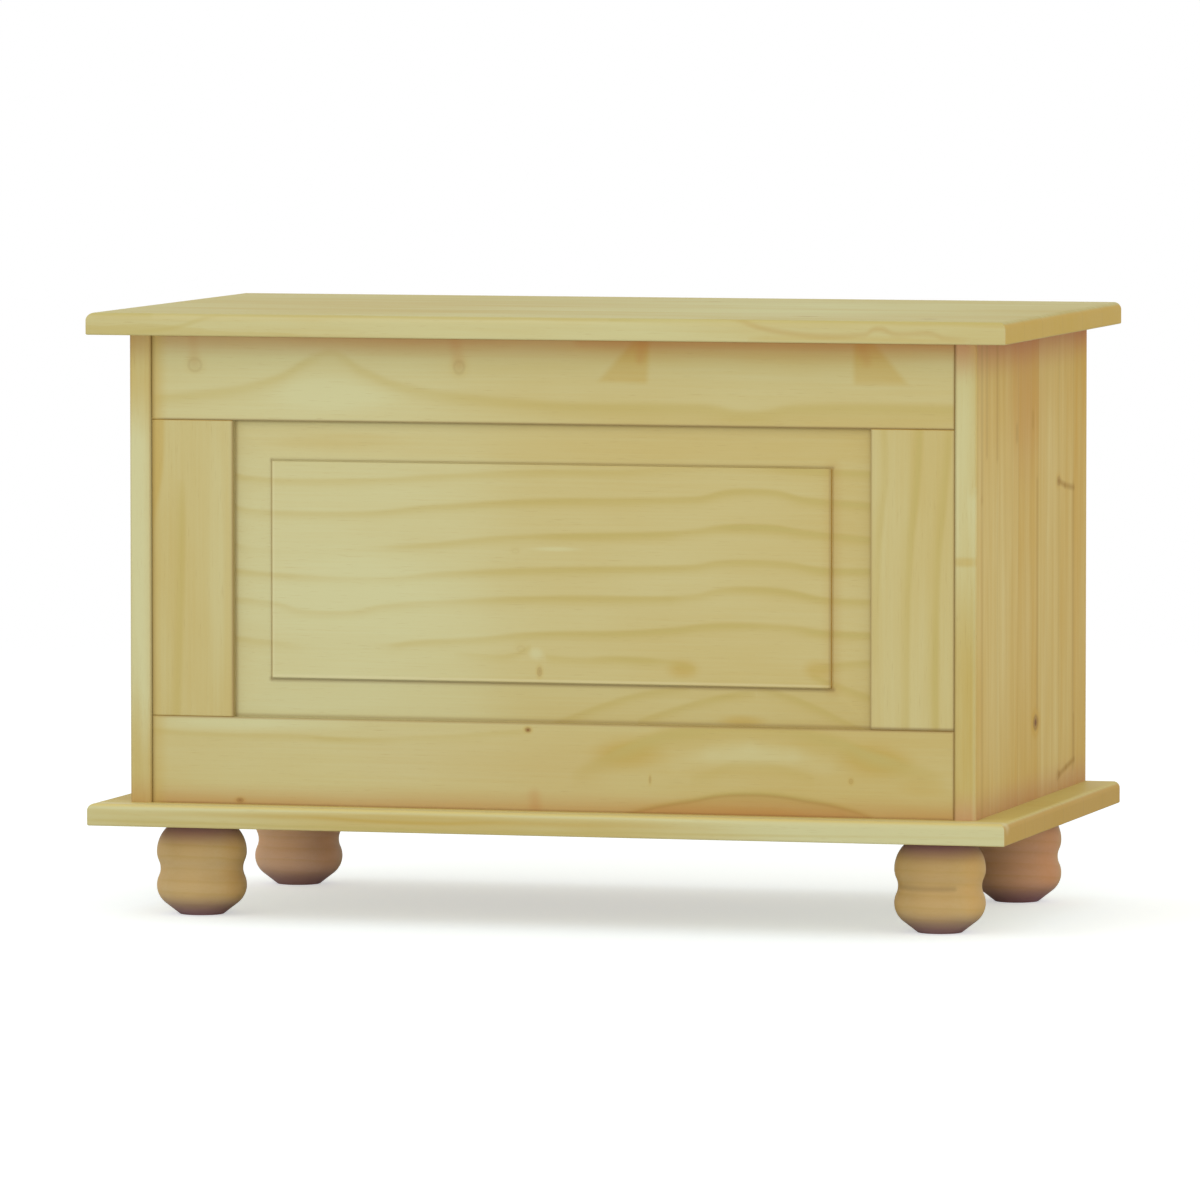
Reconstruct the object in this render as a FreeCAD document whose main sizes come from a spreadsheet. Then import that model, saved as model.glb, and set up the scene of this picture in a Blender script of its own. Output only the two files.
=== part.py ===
# A pine storage chest: a framed front with one raised panel between two solid gables, a base board on
# four turned feet, a thin back panel, and a lid on two butt hinges that two slotted stays hold open.
# Millimetres. X runs to the right, Y to the back and Z up. The origin is on the floor under the middle.

import FreeCAD
import Part
import math
import os
import re
import Sketcher
from FreeCAD import Placement, Rotation, Vector

SIZES = {
    # Lid and base board
    "lid_width": 850,
    "lid_depth": 480,
    "lid_thickness": 20,
    "lid_edge_radius": 7,
    "base_thickness": 20,
    "base_edge_radius": 6,
    "arris_radius": 1.5,
    "side_overhang": 32.5,
    "front_overhang": 28,
    # Gables
    "gable_height": 424,
    "gable_thickness": 20,
    "gable_edge_radius": 2.5,
    # Front frame and its panel
    "frame_recess": 2,
    "frame_thickness": 20,
    "frame_edge_radius": 1.5,
    "top_rail_height": 77,
    "bottom_rail_height": 79,
    "stile_width": 77,
    "groove_width": 7,
    "groove_depth": 10,
    "groove_setback": 6.5,
    "groove_end_gap": 1.5,
    "field_setback": 1.5,
    "field_step": 2.5,
    "field_margin": 36,
    "field_edge_radius": 1,
    "quirk_width": 1.5,
    "quirk_depth": 0.5,
    # Back
    "back_rail_height": 70,
    "back_rail_thickness": 20,
    "back_panel_thickness": 4,
    "back_groove_depth": 8,
    "back_groove_setback": 8,
    # Feet
    "foot_lower_bulge_height": 26.3,
    "foot_bulge_spacing": 30.7,
    "foot_crown_height": 29,
    "foot_sole_radius": 20,
    "foot_bulge_radius": 41,
    "foot_bulge_rounding": 20.5,
    "foot_cove_radius": 16.3,
    "foot_crown_radius": 20,
    "foot_side_inset": 80,
    "foot_front_inset": 93,
    "foot_rear_inset": 77,
    "foot_bolt_radius": 4,
    "foot_bolt_in_foot": 40,
    "foot_bolt_in_base": 15,
    # Dowels
    "dowel_radius": 4,
    "dowel_chamfer": 1,
    "dowel_length": 36,
    "dowel_in_gable": 12,
    "dowel_in_base": 12,
    "rail_dowel_inset": 22,
    "gable_dowel_inset": 140,
    # Countersunk screws
    "screw_tip": 4,
    "base_screw_core": 2.5,
    "base_screw_head": 5,
    "base_screw_length": 55,
    "base_screw_inset": 70,
    "base_screw_spacing": 250,
    "hinge_screw_core": 1.5,
    "hinge_screw_head": 3,
    "hinge_screw_length": 15,
    "batten_screw_core": 2,
    "batten_screw_head": 4,
    "batten_screw_length": 30,
    "batten_screw_inset": 40,
    "bracket_screw_core": 1.5,
    "bracket_screw_head": 3,
    "bracket_screw_length": 14,
    "bracket_screw_inset": 9,
    # Hinges
    "hinge_length": 60,
    "hinge_inset": 90,
    "leaf_depth": 17,
    "leaf_thickness": 1.5,
    "knuckle_radius": 3.5,
    "knuckle_gap": 0.4,
    "knuckle_play": 0.3,
    "pin_radius": 2,
    "pin_clearance": 0.06,
    "pin_head_radius": 3,
    "pin_head_length": 1.5,
    # Battens under the lid
    "batten_width": 45,
    "batten_thickness": 18,
    "batten_end_gap": 30,
    "batten_offset": 190,
    "batten_edge_radius": 3,
    # Lid stays
    "stay_radius": 120,
    "stay_pivot_drop": 5,
    "stay_stud_drop": 30,
    "stay_opening": 95,
    "stay_arm_width": 13,
    "stay_arm_thickness": 2,
    "stay_arm_gap": 2,
    "stay_arm_end": 9,
    "stay_play": 0.3,
    "stay_rivet_radius": 2.5,
    "stay_rivet_head_radius": 4.5,
    "stay_rivet_head": 1.3,
    "stay_stud_radius": 2.5,
    "stay_stud_core": 2,
    "stay_stud_core_length": 14,
    "stay_stud_head_radius": 5.5,
    "stay_stud_head": 2,
    "stay_fit": 0.08,
    "bracket_thickness": 2,
    "bracket_length": 40,
    "bracket_width": 16,
    "bracket_tab_radius": 8,
}

# Places that follow from the sizes. Each may use the sizes and the other places.
PLACES = {
    # Outlines of the boards
    "half_width": "lid_width / 2",
    "hinge_reach": "2 * knuckle_radius + knuckle_gap",
    "front": "-(lid_depth + hinge_reach) / 2",
    "rear": "front + lid_depth",
    "foot_height": "foot_lower_bulge_height + foot_bulge_spacing + foot_crown_height",
    "base_top": "foot_height + base_thickness",
    "carcass_top": "base_top + gable_height",
    "lid_top": "carcass_top + lid_thickness",
    "gable_outer": "half_width - side_overhang",
    "gable_inner": "gable_outer - gable_thickness",
    "gable_middle": "gable_inner + gable_thickness / 2",
    "gable_front": "front + front_overhang",
    # Front frame
    "frame_front": "gable_front + frame_recess",
    "frame_rear": "frame_front + frame_thickness",
    "frame_middle": "frame_front + frame_thickness / 2",
    "opening_top": "carcass_top - top_rail_height",
    "opening_bottom": "base_top + bottom_rail_height",
    "opening_half": "gable_inner - stile_width",
    "groove_front": "frame_front + groove_setback",
    "groove_rear": "groove_front + groove_width",
    "tongue_length": "groove_depth - groove_end_gap",
    "field_half": "opening_half - field_margin",
    "field_top": "opening_top - field_margin",
    "field_bottom": "opening_bottom + field_margin",
    "field_front": "frame_front + field_setback",
    # Back
    "back_rail_under": "carcass_top - back_rail_height",
    "back_rail_front": "rear - back_rail_thickness",
    "back_rail_middle": "rear - back_rail_thickness / 2",
    "back_groove_rear": "rear - back_groove_setback",
    "back_groove_front": "back_groove_rear - back_panel_thickness",
    "back_groove_top": "back_rail_under + back_groove_depth",
    "back_tongue": "back_groove_depth - groove_end_gap",
    # Feet
    "foot_upper_bulge_height": "foot_lower_bulge_height + foot_bulge_spacing",
    "foot_bulge_centre": "foot_bulge_radius - foot_bulge_rounding",
    "foot_side": "half_width - foot_side_inset",
    "foot_front": "front + foot_front_inset",
    "foot_rear": "rear - foot_rear_inset",
    "foot_bolt_length": "foot_bolt_in_foot + foot_bolt_in_base",
    # Hinges
    "hinge_end": "gable_inner - hinge_inset",
    "hinge_start": "hinge_end - hinge_length",
    "hinge_axis": "rear + knuckle_gap + knuckle_radius",
    "leaf_front": "rear - leaf_depth",
    "leaf_middle": "rear - leaf_depth / 2",
    # Battens
    "batten_front": "frame_rear + batten_end_gap",
    "batten_rear": "back_rail_front - batten_end_gap",
    "batten_under": "carcass_top - batten_thickness",
    # Lid stays. Pivot and stud are equally far from the hinge axis, so the arm turns by half the lid's angle.
    "pivot_y": "hinge_axis - stay_radius * cos(stay_pivot_drop)",
    "pivot_z": "carcass_top - stay_radius * sin(stay_pivot_drop)",
    "stud_y": "hinge_axis - stay_radius * cos(stay_stud_drop)",
    "stud_z": "carcass_top - stay_radius * sin(stay_stud_drop)",
    "arm_tilt": "(stay_pivot_drop + stay_stud_drop) / 2",
    "stud_closed": "2 * stay_radius * sin((stay_stud_drop - stay_pivot_drop) / 2)",
    "stud_open": "2 * stay_radius * sin((stay_stud_drop - stay_pivot_drop + stay_opening) / 2)",
    "slot_radius": "stay_stud_radius + stay_play",
    "arm_outer": "gable_inner - stay_arm_gap",
    "arm_inner": "arm_outer - stay_arm_thickness",
    "tab_outer": "arm_inner - stay_play",
    "tab_inner": "tab_outer - bracket_thickness",
    "rivet_length": "bracket_thickness + stay_play + stay_arm_thickness + stay_play",
    "stud_shoulder": "stay_arm_thickness + 2 * stay_play",
    "stud_collar": "stay_arm_gap - stay_play",
    "bracket_inner": "tab_outer - bracket_width",
    "bracket_under": "carcass_top - bracket_thickness",
    "bracket_middle": "(bracket_inner + tab_inner) / 2",
    "bracket_front": "pivot_y - bracket_length / 2",
    "bracket_rear": "pivot_y + bracket_length / 2",
}

KNUCKLES = 5
HINGE_SCREWS = 3
TOUCH = 1e-6
TURNS = {
    "right": Rotation(Vector(0, 1, 0), 90),
    "left": Rotation(Vector(0, 1, 0), -90),
    "up": Rotation(),
    "down": Rotation(Vector(1, 0, 0), 180),
}

doc = FreeCAD.newDocument("StorageChest")
sheet = doc.addObject("Spreadsheet::Sheet", "Sizes")
nodes = []


def fill_sheet():
    """Writes every size to the sheet, its name beside it."""
    for row, (name, number) in enumerate(SIZES.items(), start=1):
        sheet.set(f"A{row}", name)
        sheet.set(f"B{row}", str(number))
        sheet.setAlias(f"B{row}", name)
    doc.recompute()


def size(name):
    """The number that the sheet holds under a name."""
    return float(getattr(sheet, name))


def formula(text):
    """An expression for the sheet: places are written out and sizes point at their cells."""
    def word(match):
        name = match.group()
        if name in PLACES:
            return f"({formula(PLACES[name])})"
        return f"Sizes.{name}" if name in SIZES else name
    return re.sub(r"[a-z_]+", word, text)


def place(thing, point, turn="up"):
    """Turns a thing and ties its position to three formulas."""
    thing.Placement = Placement(Vector(), TURNS[turn])
    for axis, text in zip("xyz", point):
        thing.setExpression(f"Placement.Base.{axis}", formula(text))
    return thing


def block(name, low, high):
    """A box between two opposite corners."""
    thing = doc.addObject("Part::Box", name)
    for side, start, end in zip(("Length", "Width", "Height"), low, high):
        thing.setExpression(side, formula(f"({end}) - ({start})"))
    return place(thing, low)


def rod(name, radius, length, start, turn):
    """A plain cylinder that starts at a point."""
    thing = doc.addObject("Part::Cylinder", name)
    thing.setExpression("Radius", formula(radius))
    thing.setExpression("Height", formula(length))
    return place(thing, start, turn)


def fuse(name, things):
    """Several things joined to one solid."""
    whole = doc.addObject("Part::MultiFuse", name)
    whole.Shapes = things
    return whole


def group(name, things):
    """Several solids that stay separate."""
    whole = doc.addObject("Part::Compound", name)
    whole.Links = things
    return whole


def cut(name, base, tools):
    """A thing less everything that the tools fill."""
    rest = doc.addObject("Part::Cut", name)
    rest.Base = base
    rest.Tool = group(f"{name}_tools", tools)
    return rest


def mirror(name, thing):
    """The same thing on the other side of the chest."""
    other = doc.addObject("Part::Mirroring", name)
    other.Source = thing
    other.Normal = Vector(1, 0, 0)
    return other


def both(name, things):
    """Solids of the right side and their mirror images, as one group."""
    right = group(f"{name}_right", things)
    return group(name, [right, mirror(f"{name}_left", right)])


def edges_between(shape, first, second):
    """Numbers of the edges where two sides of the shape's bounding box meet."""
    box = shape.BoundBox
    sides = {
        "left": ("XMin", "XMax", box.XMin), "right": ("XMin", "XMax", box.XMax),
        "front": ("YMin", "YMax", box.YMin), "rear": ("YMin", "YMax", box.YMax),
        "bottom": ("ZMin", "ZMax", box.ZMin), "top": ("ZMin", "ZMax", box.ZMax),
    }

    def on(edge, side):
        low, high, level = sides[side]
        ends = (getattr(edge.BoundBox, low), getattr(edge.BoundBox, high))
        return all(abs(end - level) < TOUCH for end in ends)

    return [number for number, edge in enumerate(shape.Edges, start=1)
            if on(edge, first) and on(edge, second)]


def eased(name, thing, radii):
    """A thing with rounded edges. Each pair of sides is given the name of its radius."""
    doc.recompute()
    smooth = doc.addObject("Part::Fillet", name)
    smooth.Base = thing
    smooth.Edges = [(number, size(radius), size(radius))
                    for sides, radius in radii.items()
                    for number in edges_between(thing.Shape, *sides.split())]
    return smooth


def origin_plane(body, role):
    """One of the three planes through a body's origin."""
    return next(item for item in body.Origin.OriginFeatures if item.Role == role)


def new_sketch(body, role, name):
    """An empty sketch on a plane through the body's origin."""
    sketch = body.newObject("Sketcher::SketchObject", name)
    sketch.AttachmentSupport = [(origin_plane(body, role), "")]
    sketch.MapMode = "FlatFace"
    return sketch


def dimension(sketch, name, text, kind, *where):
    """A constraint of a sketch with its own name and a formula. It starts from the drawn length."""
    if kind == "Radius":
        drawn = sketch.Geometry[where[0]].Radius
    else:
        way = sketch.getPoint(*where[2:]) - sketch.getPoint(*where[:2])
        drawn = way.x if kind == "DistanceX" else way.y
    number = sketch.addConstraint(Sketcher.Constraint(kind, *where, drawn))
    sketch.renameConstraint(number, name)
    sketch.setExpression(f"Constraints.{name}", formula(text))


def revolved(body, sketch):
    """The body that a sketch sweeps as it turns about its upright axis."""
    turn = body.newObject("PartDesign::Revolution", f"{body.Name}_turn")
    turn.Profile = sketch
    turn.ReferenceAxis = (sketch, ["V_Axis"])
    turn.Angle = 360
    return body


def turned(name, corners, start, turn):
    """A turned piece. Corners are pairs of radius and height, from the first end to the last.

    The first and the last corner are on the axis and have no radius.
    """
    body = doc.addObject("PartDesign::Body", name)
    sketch = new_sketch(body, "XZ_Plane", f"{name}_outline")
    guesses = [Vector(step if radius else 0, step, 0) for step, (radius, _) in enumerate(corners)]
    last = len(corners) - 1
    for step in range(last):
        sketch.addGeometry(Part.LineSegment(guesses[step], guesses[step + 1]))
    sketch.addGeometry(Part.LineSegment(guesses[last], guesses[0]))
    for line in range(last + 1):
        following = (line + 1) % (last + 1)
        sketch.addConstraint(Sketcher.Constraint("Coincident", line, 2, following, 1))
    sketch.addConstraint(Sketcher.Constraint("Coincident", 0, 1, -1, 1))
    for step, (radius, height) in enumerate(corners[1:], start=1):
        if radius:
            dimension(sketch, f"radius_{step}", radius, "DistanceX", -1, 1, step, 1)
        else:
            sketch.addConstraint(Sketcher.Constraint("PointOnObject", step, 1, -2))
        if height:
            dimension(sketch, f"height_{step}", height, "DistanceY", -1, 1, step, 1)
        else:
            sketch.addConstraint(Sketcher.Constraint("PointOnObject", step, 1, -1))
    revolved(body, sketch)
    return place(body, start, turn)


def screw(name, kind, start, turn):
    """A countersunk wood screw that starts at the middle of its head."""
    core, head, length = f"{kind}_screw_core", f"{kind}_screw_head", f"{kind}_screw_length"
    corners = [("", ""), (head, ""), (core, f"{head} - {core}"),
               (core, f"{length} - screw_tip"), ("", length)]
    return turned(name, corners, start, turn)


def dowel(name, start, turn):
    """A wooden dowel with chamfered ends."""
    narrow = "dowel_radius - dowel_chamfer"
    corners = [("", ""), (narrow, ""), ("dowel_radius", "dowel_chamfer"),
               ("dowel_radius", "dowel_length - dowel_chamfer"), (narrow, "dowel_length"),
               ("", "dowel_length")]
    return turned(name, corners, start, turn)


def node(thing, name):
    """Names a finished piece and keeps it for the end."""
    thing.Label = name
    nodes.append(thing)
    return thing


def pair(thing, name):
    """Keeps a finished piece of the right side and its mirror image."""
    node(thing, f"right_{name}")
    node(mirror(f"left_{name}", thing), f"left_{name}")


# Fasteners, which also cut their own holes

def make_dowels():
    """Dowels of the front rails, the back rail and the gables."""
    rail_levels = {
        "top_high": "carcass_top - rail_dowel_inset", "top_low": "opening_top + rail_dowel_inset",
        "bottom_high": "opening_bottom - rail_dowel_inset", "bottom_low": "base_top + rail_dowel_inset",
    }
    start = "gable_inner + dowel_in_gable"
    front = [dowel(f"front_dowel_{name}", (start, "frame_middle", level), "left")
             for name, level in rail_levels.items()]
    back_levels = {"high": "carcass_top - rail_dowel_inset", "low": "back_rail_under + rail_dowel_inset"}
    back = [dowel(f"back_dowel_{name}", (start, "back_rail_middle", level), "left")
            for name, level in back_levels.items()]
    depths = {"front": "gable_front + gable_dowel_inset", "rear": "rear - gable_dowel_inset"}
    gable = [dowel(f"gable_dowel_{name}", ("gable_middle", depth, "base_top - dowel_in_base"), "up")
             for name, depth in depths.items()]
    return [node(both("front_rail_dowels", front), "front_rail_dowels"),
            node(both("back_rail_dowels", back), "back_rail_dowels"),
            node(both("gable_dowels", gable), "gable_dowels")]


def make_base_screws():
    """Screws from under the base board into the gables and the front bottom rail."""
    depths = {"front": "gable_front + base_screw_inset", "middle": "(gable_front + rear) / 2",
              "rear": "rear - base_screw_inset"}
    right = [screw(f"base_screw_{name}", "base", ("gable_middle", depth, "foot_height"), "up")
             for name, depth in depths.items()]
    rail = ("frame_middle", "foot_height")
    right.append(screw("base_screw_rail", "base", ("base_screw_spacing", *rail), "up"))
    centre = screw("base_screw_centre", "base", ("0", *rail), "up")
    return node(group("base_screws", [both("base_screws_sides", right), centre]), "base_screws")


def make_foot_bolts():
    """Bolts with a wood thread at both ends, half in the foot and half in the base board."""
    corners = [("", ""), ("foot_bolt_radius", "screw_tip"),
               ("foot_bolt_radius", "foot_bolt_length - screw_tip"), ("", "foot_bolt_length")]
    low = "foot_height - foot_bolt_in_foot"
    bolts = [turned(f"foot_bolt_{name}", corners, ("foot_side", depth, low), "up")
             for name, depth in (("front", "foot_front"), ("rear", "foot_rear"))]
    return node(both("foot_bolts", bolts), "foot_bolts")


def make_hinge_screws(name, turn):
    """Screws of the hinge leaves on one board, evenly spaced along each leaf."""
    steps = [f"hinge_start + hinge_length * {2 * number + 1} / {2 * HINGE_SCREWS}"
             for number in range(HINGE_SCREWS)]
    right = [screw(f"{name}_{number}", "hinge", (x, "leaf_middle", "carcass_top"), turn)
             for number, x in enumerate(steps)]
    return node(both(name, right), name)


def make_batten_screws():
    """Screws through the battens into the lid board."""
    depths = {"front": "batten_front + batten_screw_inset", "middle": "(batten_front + batten_rear) / 2",
              "rear": "batten_rear - batten_screw_inset"}
    right = [screw(f"batten_screw_{name}", "batten", ("batten_offset", depth, "batten_under"), "up")
             for name, depth in depths.items()]
    return node(both("batten_screws", right), "batten_screws")


def make_bracket_screws():
    """Screws of the stay brackets into the lid board."""
    depths = {"front": "bracket_front + bracket_screw_inset", "rear": "bracket_rear - bracket_screw_inset"}
    right = [screw(f"bracket_screw_{name}", "bracket", ("bracket_middle", depth, "bracket_under"), "up")
             for name, depth in depths.items()]
    return node(both("bracket_screws", right), "bracket_screws")


# Boards of the carcass

def make_base_board(fasteners):
    """The board under the chest, grooved for the back panel."""
    blank = block("base_blank", ("-half_width", "front", "foot_height"), ("half_width", "rear", "base_top"))
    board = eased("base_eased", blank, {
        "top front": "base_edge_radius", "top left": "base_edge_radius", "top right": "base_edge_radius",
        "bottom front": "arris_radius", "bottom left": "arris_radius", "bottom right": "arris_radius"})
    groove_half = "(gable_inner + back_groove_depth)"
    groove = block("base_groove", (f"-{groove_half}", "back_groove_front", "base_top - back_groove_depth"),
                   (groove_half, "back_groove_rear", "base_top"))
    node(cut("base_board", board, [groove] + fasteners), "base_board")


def make_gables(fasteners):
    """The two side boards, each with a stopped groove for the back panel."""
    blank = block("gable_blank", ("gable_inner", "gable_front", "base_top"),
                  ("gable_outer", "rear", "carcass_top"))
    radius = "gable_edge_radius"
    board = eased("gable_eased", blank, {"front right": radius, "front left": radius})
    groove = block("gable_groove", ("gable_inner", "back_groove_front", "base_top"),
                   ("gable_inner + back_groove_depth", "back_groove_rear", "back_groove_top"))
    pair(cut("right_gable", board, [groove] + fasteners), "gable")


def make_front_rails(fasteners):
    """The rails above and below the panel, full width between the gables."""
    radius = "frame_edge_radius"
    ends = {"front left": radius, "front right": radius}
    top_blank = block("top_rail_blank", ("-gable_inner", "frame_front", "opening_top"),
                      ("gable_inner", "frame_rear", "carcass_top"))
    top = eased("top_rail_eased", top_blank, {"front bottom": radius, **ends})
    top_groove = block("top_rail_groove", ("-gable_inner", "groove_front", "opening_top"),
                       ("gable_inner", "groove_rear", "opening_top + groove_depth"))
    node(cut("front_top_rail", top, [top_groove] + fasteners), "front_top_rail")
    bottom_blank = block("bottom_rail_blank", ("-gable_inner", "frame_front", "base_top"),
                         ("gable_inner", "frame_rear", "opening_bottom"))
    bottom = eased("bottom_rail_eased", bottom_blank, {"front top": radius, **ends})
    bottom_groove = block("bottom_rail_groove",
                          ("-gable_inner", "groove_front", "opening_bottom - groove_depth"),
                          ("gable_inner", "groove_rear", "opening_bottom"))
    node(cut("front_bottom_rail", bottom, [bottom_groove] + fasteners), "front_bottom_rail")


def make_stiles():
    """The upright frame pieces, with stub tenons in the grooves of the rails."""
    radius = "frame_edge_radius"
    blank = block("stile_blank", ("opening_half", "frame_front", "opening_bottom"),
                  ("gable_inner", "frame_rear", "opening_top"))
    board = eased("stile_eased", blank, {"front left": radius, "front right": radius,
                                         "front top": radius, "front bottom": radius})
    tenons = block("stile_tenons", ("opening_half", "groove_front", "opening_bottom - tongue_length"),
                   ("gable_inner", "groove_rear", "opening_top + tongue_length"))
    groove = block("stile_groove", ("opening_half", "groove_front", "opening_bottom - tongue_length"),
                   ("opening_half + groove_depth", "groove_rear", "opening_top + tongue_length"))
    pair(cut("right_stile", fuse("stile_whole", [board, tenons]), [groove]), "stile")


def make_front_panel():
    """The panel in the frame: a tongue all round, a sloping margin, and a raised field inside a quirk."""
    tongue_half = "(opening_half + tongue_length)"
    tongue = block("panel_tongue", (f"-{tongue_half}", "groove_front", "opening_bottom - tongue_length"),
                   (tongue_half, "groove_rear", "opening_top + tongue_length"))
    margin = doc.addObject("Part::Wedge", "panel_margin")
    corners = {
        "Xmin": "-field_half", "Xmax": "field_half", "Zmin": "field_bottom", "Zmax": "field_top",
        "X2min": "-opening_half", "X2max": "opening_half", "Z2min": "opening_bottom", "Z2max": "opening_top",
        "Ymin": "field_front + field_step", "Ymax": "groove_front",
    }
    for corner, text in corners.items():
        margin.setExpression(corner, formula(text))
    quirk = block("panel_quirk",
                  ("-(field_half + quirk_width)", "field_front", "field_bottom - quirk_width"),
                  ("field_half + quirk_width", "field_front + field_step + quirk_depth",
                   "field_top + quirk_width"))
    border = cut("panel_border", margin, [quirk])
    field_blank = block("panel_field_blank", ("-field_half", "field_front", "field_bottom"),
                        ("field_half", "groove_rear", "field_top"))
    radius = "field_edge_radius"
    field = eased("panel_field", field_blank, {"front left": radius, "front right": radius,
                                               "front top": radius, "front bottom": radius})
    node(fuse("front_panel", [tongue, border, field]), "front_panel")


def make_back(fasteners):
    """The rail that carries the hinges and the thin panel below it."""
    blank = block("back_rail_blank", ("-gable_inner", "back_rail_front", "back_rail_under"),
                  ("gable_inner", "rear", "carcass_top"))
    board = eased("back_rail_eased", blank, {"front bottom": "arris_radius", "rear bottom": "arris_radius"})
    groove = block("back_rail_groove", ("-gable_inner", "back_groove_front", "back_rail_under"),
                   ("gable_inner", "back_groove_rear", "back_groove_top"))
    seat = block("rail_leaf_seat", ("hinge_start", "leaf_front", "carcass_top - leaf_thickness"),
                 ("hinge_end", "rear", "carcass_top"))
    seats = both("rail_leaf_seats", [seat])
    node(cut("back_rail", board, [groove, seats] + fasteners), "back_rail")
    half = "(gable_inner + back_tongue)"
    panel = block("back_panel", (f"-{half}", "back_groove_front", "base_top - back_tongue"),
                  (half, "back_groove_rear", "back_rail_under + back_tongue"))
    node(panel, "back_panel")


# Feet

def foot_outline(body):
    """The outline of a foot: a flat sole, two bulges with a cove between them and a narrower crown."""
    bulge, rounding, cove = size("foot_bulge_radius"), size("foot_bulge_rounding"), size("foot_cove_radius")
    sole, crown, low = size("foot_sole_radius"), size("foot_crown_radius"), size("foot_lower_bulge_height")
    high = low + size("foot_bulge_spacing")
    top = high + size("foot_crown_height")
    centre = bulge - rounding
    half = (high - low) / 2
    cove_x = centre + math.sqrt((rounding + cove) ** 2 - half ** 2)
    lean = math.atan2(half, cove_x - centre)
    reach = math.hypot(sole - centre, low)
    touch = math.atan2(-low, sole - centre) + math.acos(rounding / reach)
    crown_rounding = ((bulge - crown) ** 2 + (top - high) ** 2) / (2 * (bulge - crown))
    crown_angle = math.atan2(top - high, crown - bulge + crown_rounding)

    def arc(x, y, radius, start, end):
        return Part.ArcOfCircle(Part.Circle(Vector(x, y, 0), Vector(0, 0, 1), radius), start, end)

    def line(*ends):
        return Part.LineSegment(*(Vector(x, y, 0) for x, y in ends))

    contact = (centre + rounding * math.cos(touch), low + rounding * math.sin(touch))
    sketch = new_sketch(body, "XZ_Plane", f"{body.Name}_outline")
    axis, flat, cone, lower, dip, upper, head, lid = range(8)
    sketch.addGeometry([
        line((0, top), (0, 0)),
        line((0, 0), (sole, 0)),
        line((sole, 0), contact),
        arc(centre, low, rounding, touch, lean),
        arc(cove_x, low + half, cove, math.pi - lean, math.pi + lean),
        arc(centre, high, rounding, -lean, 0),
        arc(bulge - crown_rounding, high, crown_rounding, 0, crown_angle),
        line((crown, top), (0, top)),
    ])
    sketch.addConstraint([
        Sketcher.Constraint("Coincident", axis, 2, -1, 1),
        Sketcher.Constraint("PointOnObject", axis, 1, -2),
        Sketcher.Constraint("Coincident", axis, 2, flat, 1),
        Sketcher.Constraint("Horizontal", flat),
        Sketcher.Constraint("Coincident", flat, 2, cone, 1),
        Sketcher.Constraint("Tangent", cone, 2, lower, 1),
        Sketcher.Constraint("Tangent", lower, 2, dip, 2),
        Sketcher.Constraint("Tangent", dip, 1, upper, 1),
        Sketcher.Constraint("Tangent", upper, 2, head, 1),
        Sketcher.Constraint("Coincident", head, 2, lid, 1),
        Sketcher.Constraint("Horizontal", lid),
        Sketcher.Constraint("Coincident", lid, 2, axis, 1),
        Sketcher.Constraint("Equal", lower, upper),
        Sketcher.Constraint("Horizontal", upper, 3, upper, 2),
    ])
    dimension(sketch, "sole", "foot_sole_radius", "DistanceX", -1, 1, flat, 2)
    dimension(sketch, "rounding", "foot_bulge_rounding", "Radius", lower)
    dimension(sketch, "cove", "foot_cove_radius", "Radius", dip)
    dimension(sketch, "lower_side", "foot_bulge_centre", "DistanceX", -1, 1, lower, 3)
    dimension(sketch, "lower_height", "foot_lower_bulge_height", "DistanceY", -1, 1, lower, 3)
    dimension(sketch, "upper_side", "foot_bulge_centre", "DistanceX", -1, 1, upper, 3)
    dimension(sketch, "upper_height", "foot_upper_bulge_height", "DistanceY", -1, 1, upper, 3)
    dimension(sketch, "crown", "foot_crown_radius", "DistanceX", -1, 1, head, 2)
    dimension(sketch, "top", "foot_height", "DistanceY", -1, 1, head, 2)
    return sketch


def make_feet(bolts):
    """Four turned feet under the corners of the base board."""
    for end, depth in (("front", "foot_front"), ("rear", "foot_rear")):
        body = doc.addObject("PartDesign::Body", f"{end}_foot_turned")
        revolved(body, foot_outline(body))
        place(body, ("foot_side", depth, "0"))
        pair(cut(f"right_{end}_foot", body, [bolts]), f"{end}_foot")


# Hinges

def make_leaf(name, own, low, high, bore, screws):
    """A hinge leaf: a plate let into the wood and its share of the knuckles."""
    plate = block(f"{name}_plate", ("hinge_start", "leaf_front", low), ("hinge_end", "rear", high))
    parts = [plate]
    for number in own:
        start = f"hinge_start + hinge_length * {number} / {KNUCKLES} + knuckle_play / 2"
        end = f"hinge_start + hinge_length * {number + 1} / {KNUCKLES} - knuckle_play / 2"
        parts.append(block(f"{name}_tab_{number}", (start, "rear", low), (end, "hinge_axis", high)))
        length = f"hinge_length / {KNUCKLES} - knuckle_play"
        parts.append(rod(f"{name}_knuckle_{number}", "knuckle_radius", length,
                         (start, "hinge_axis", "carcass_top"), "right"))
    hole = rod(f"{name}_bore", bore, "hinge_length", ("hinge_start", "hinge_axis", "carcass_top"), "right")
    pair(cut(f"right_{name}", fuse(f"{name}_whole", parts), [hole, screws]), name)


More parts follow.
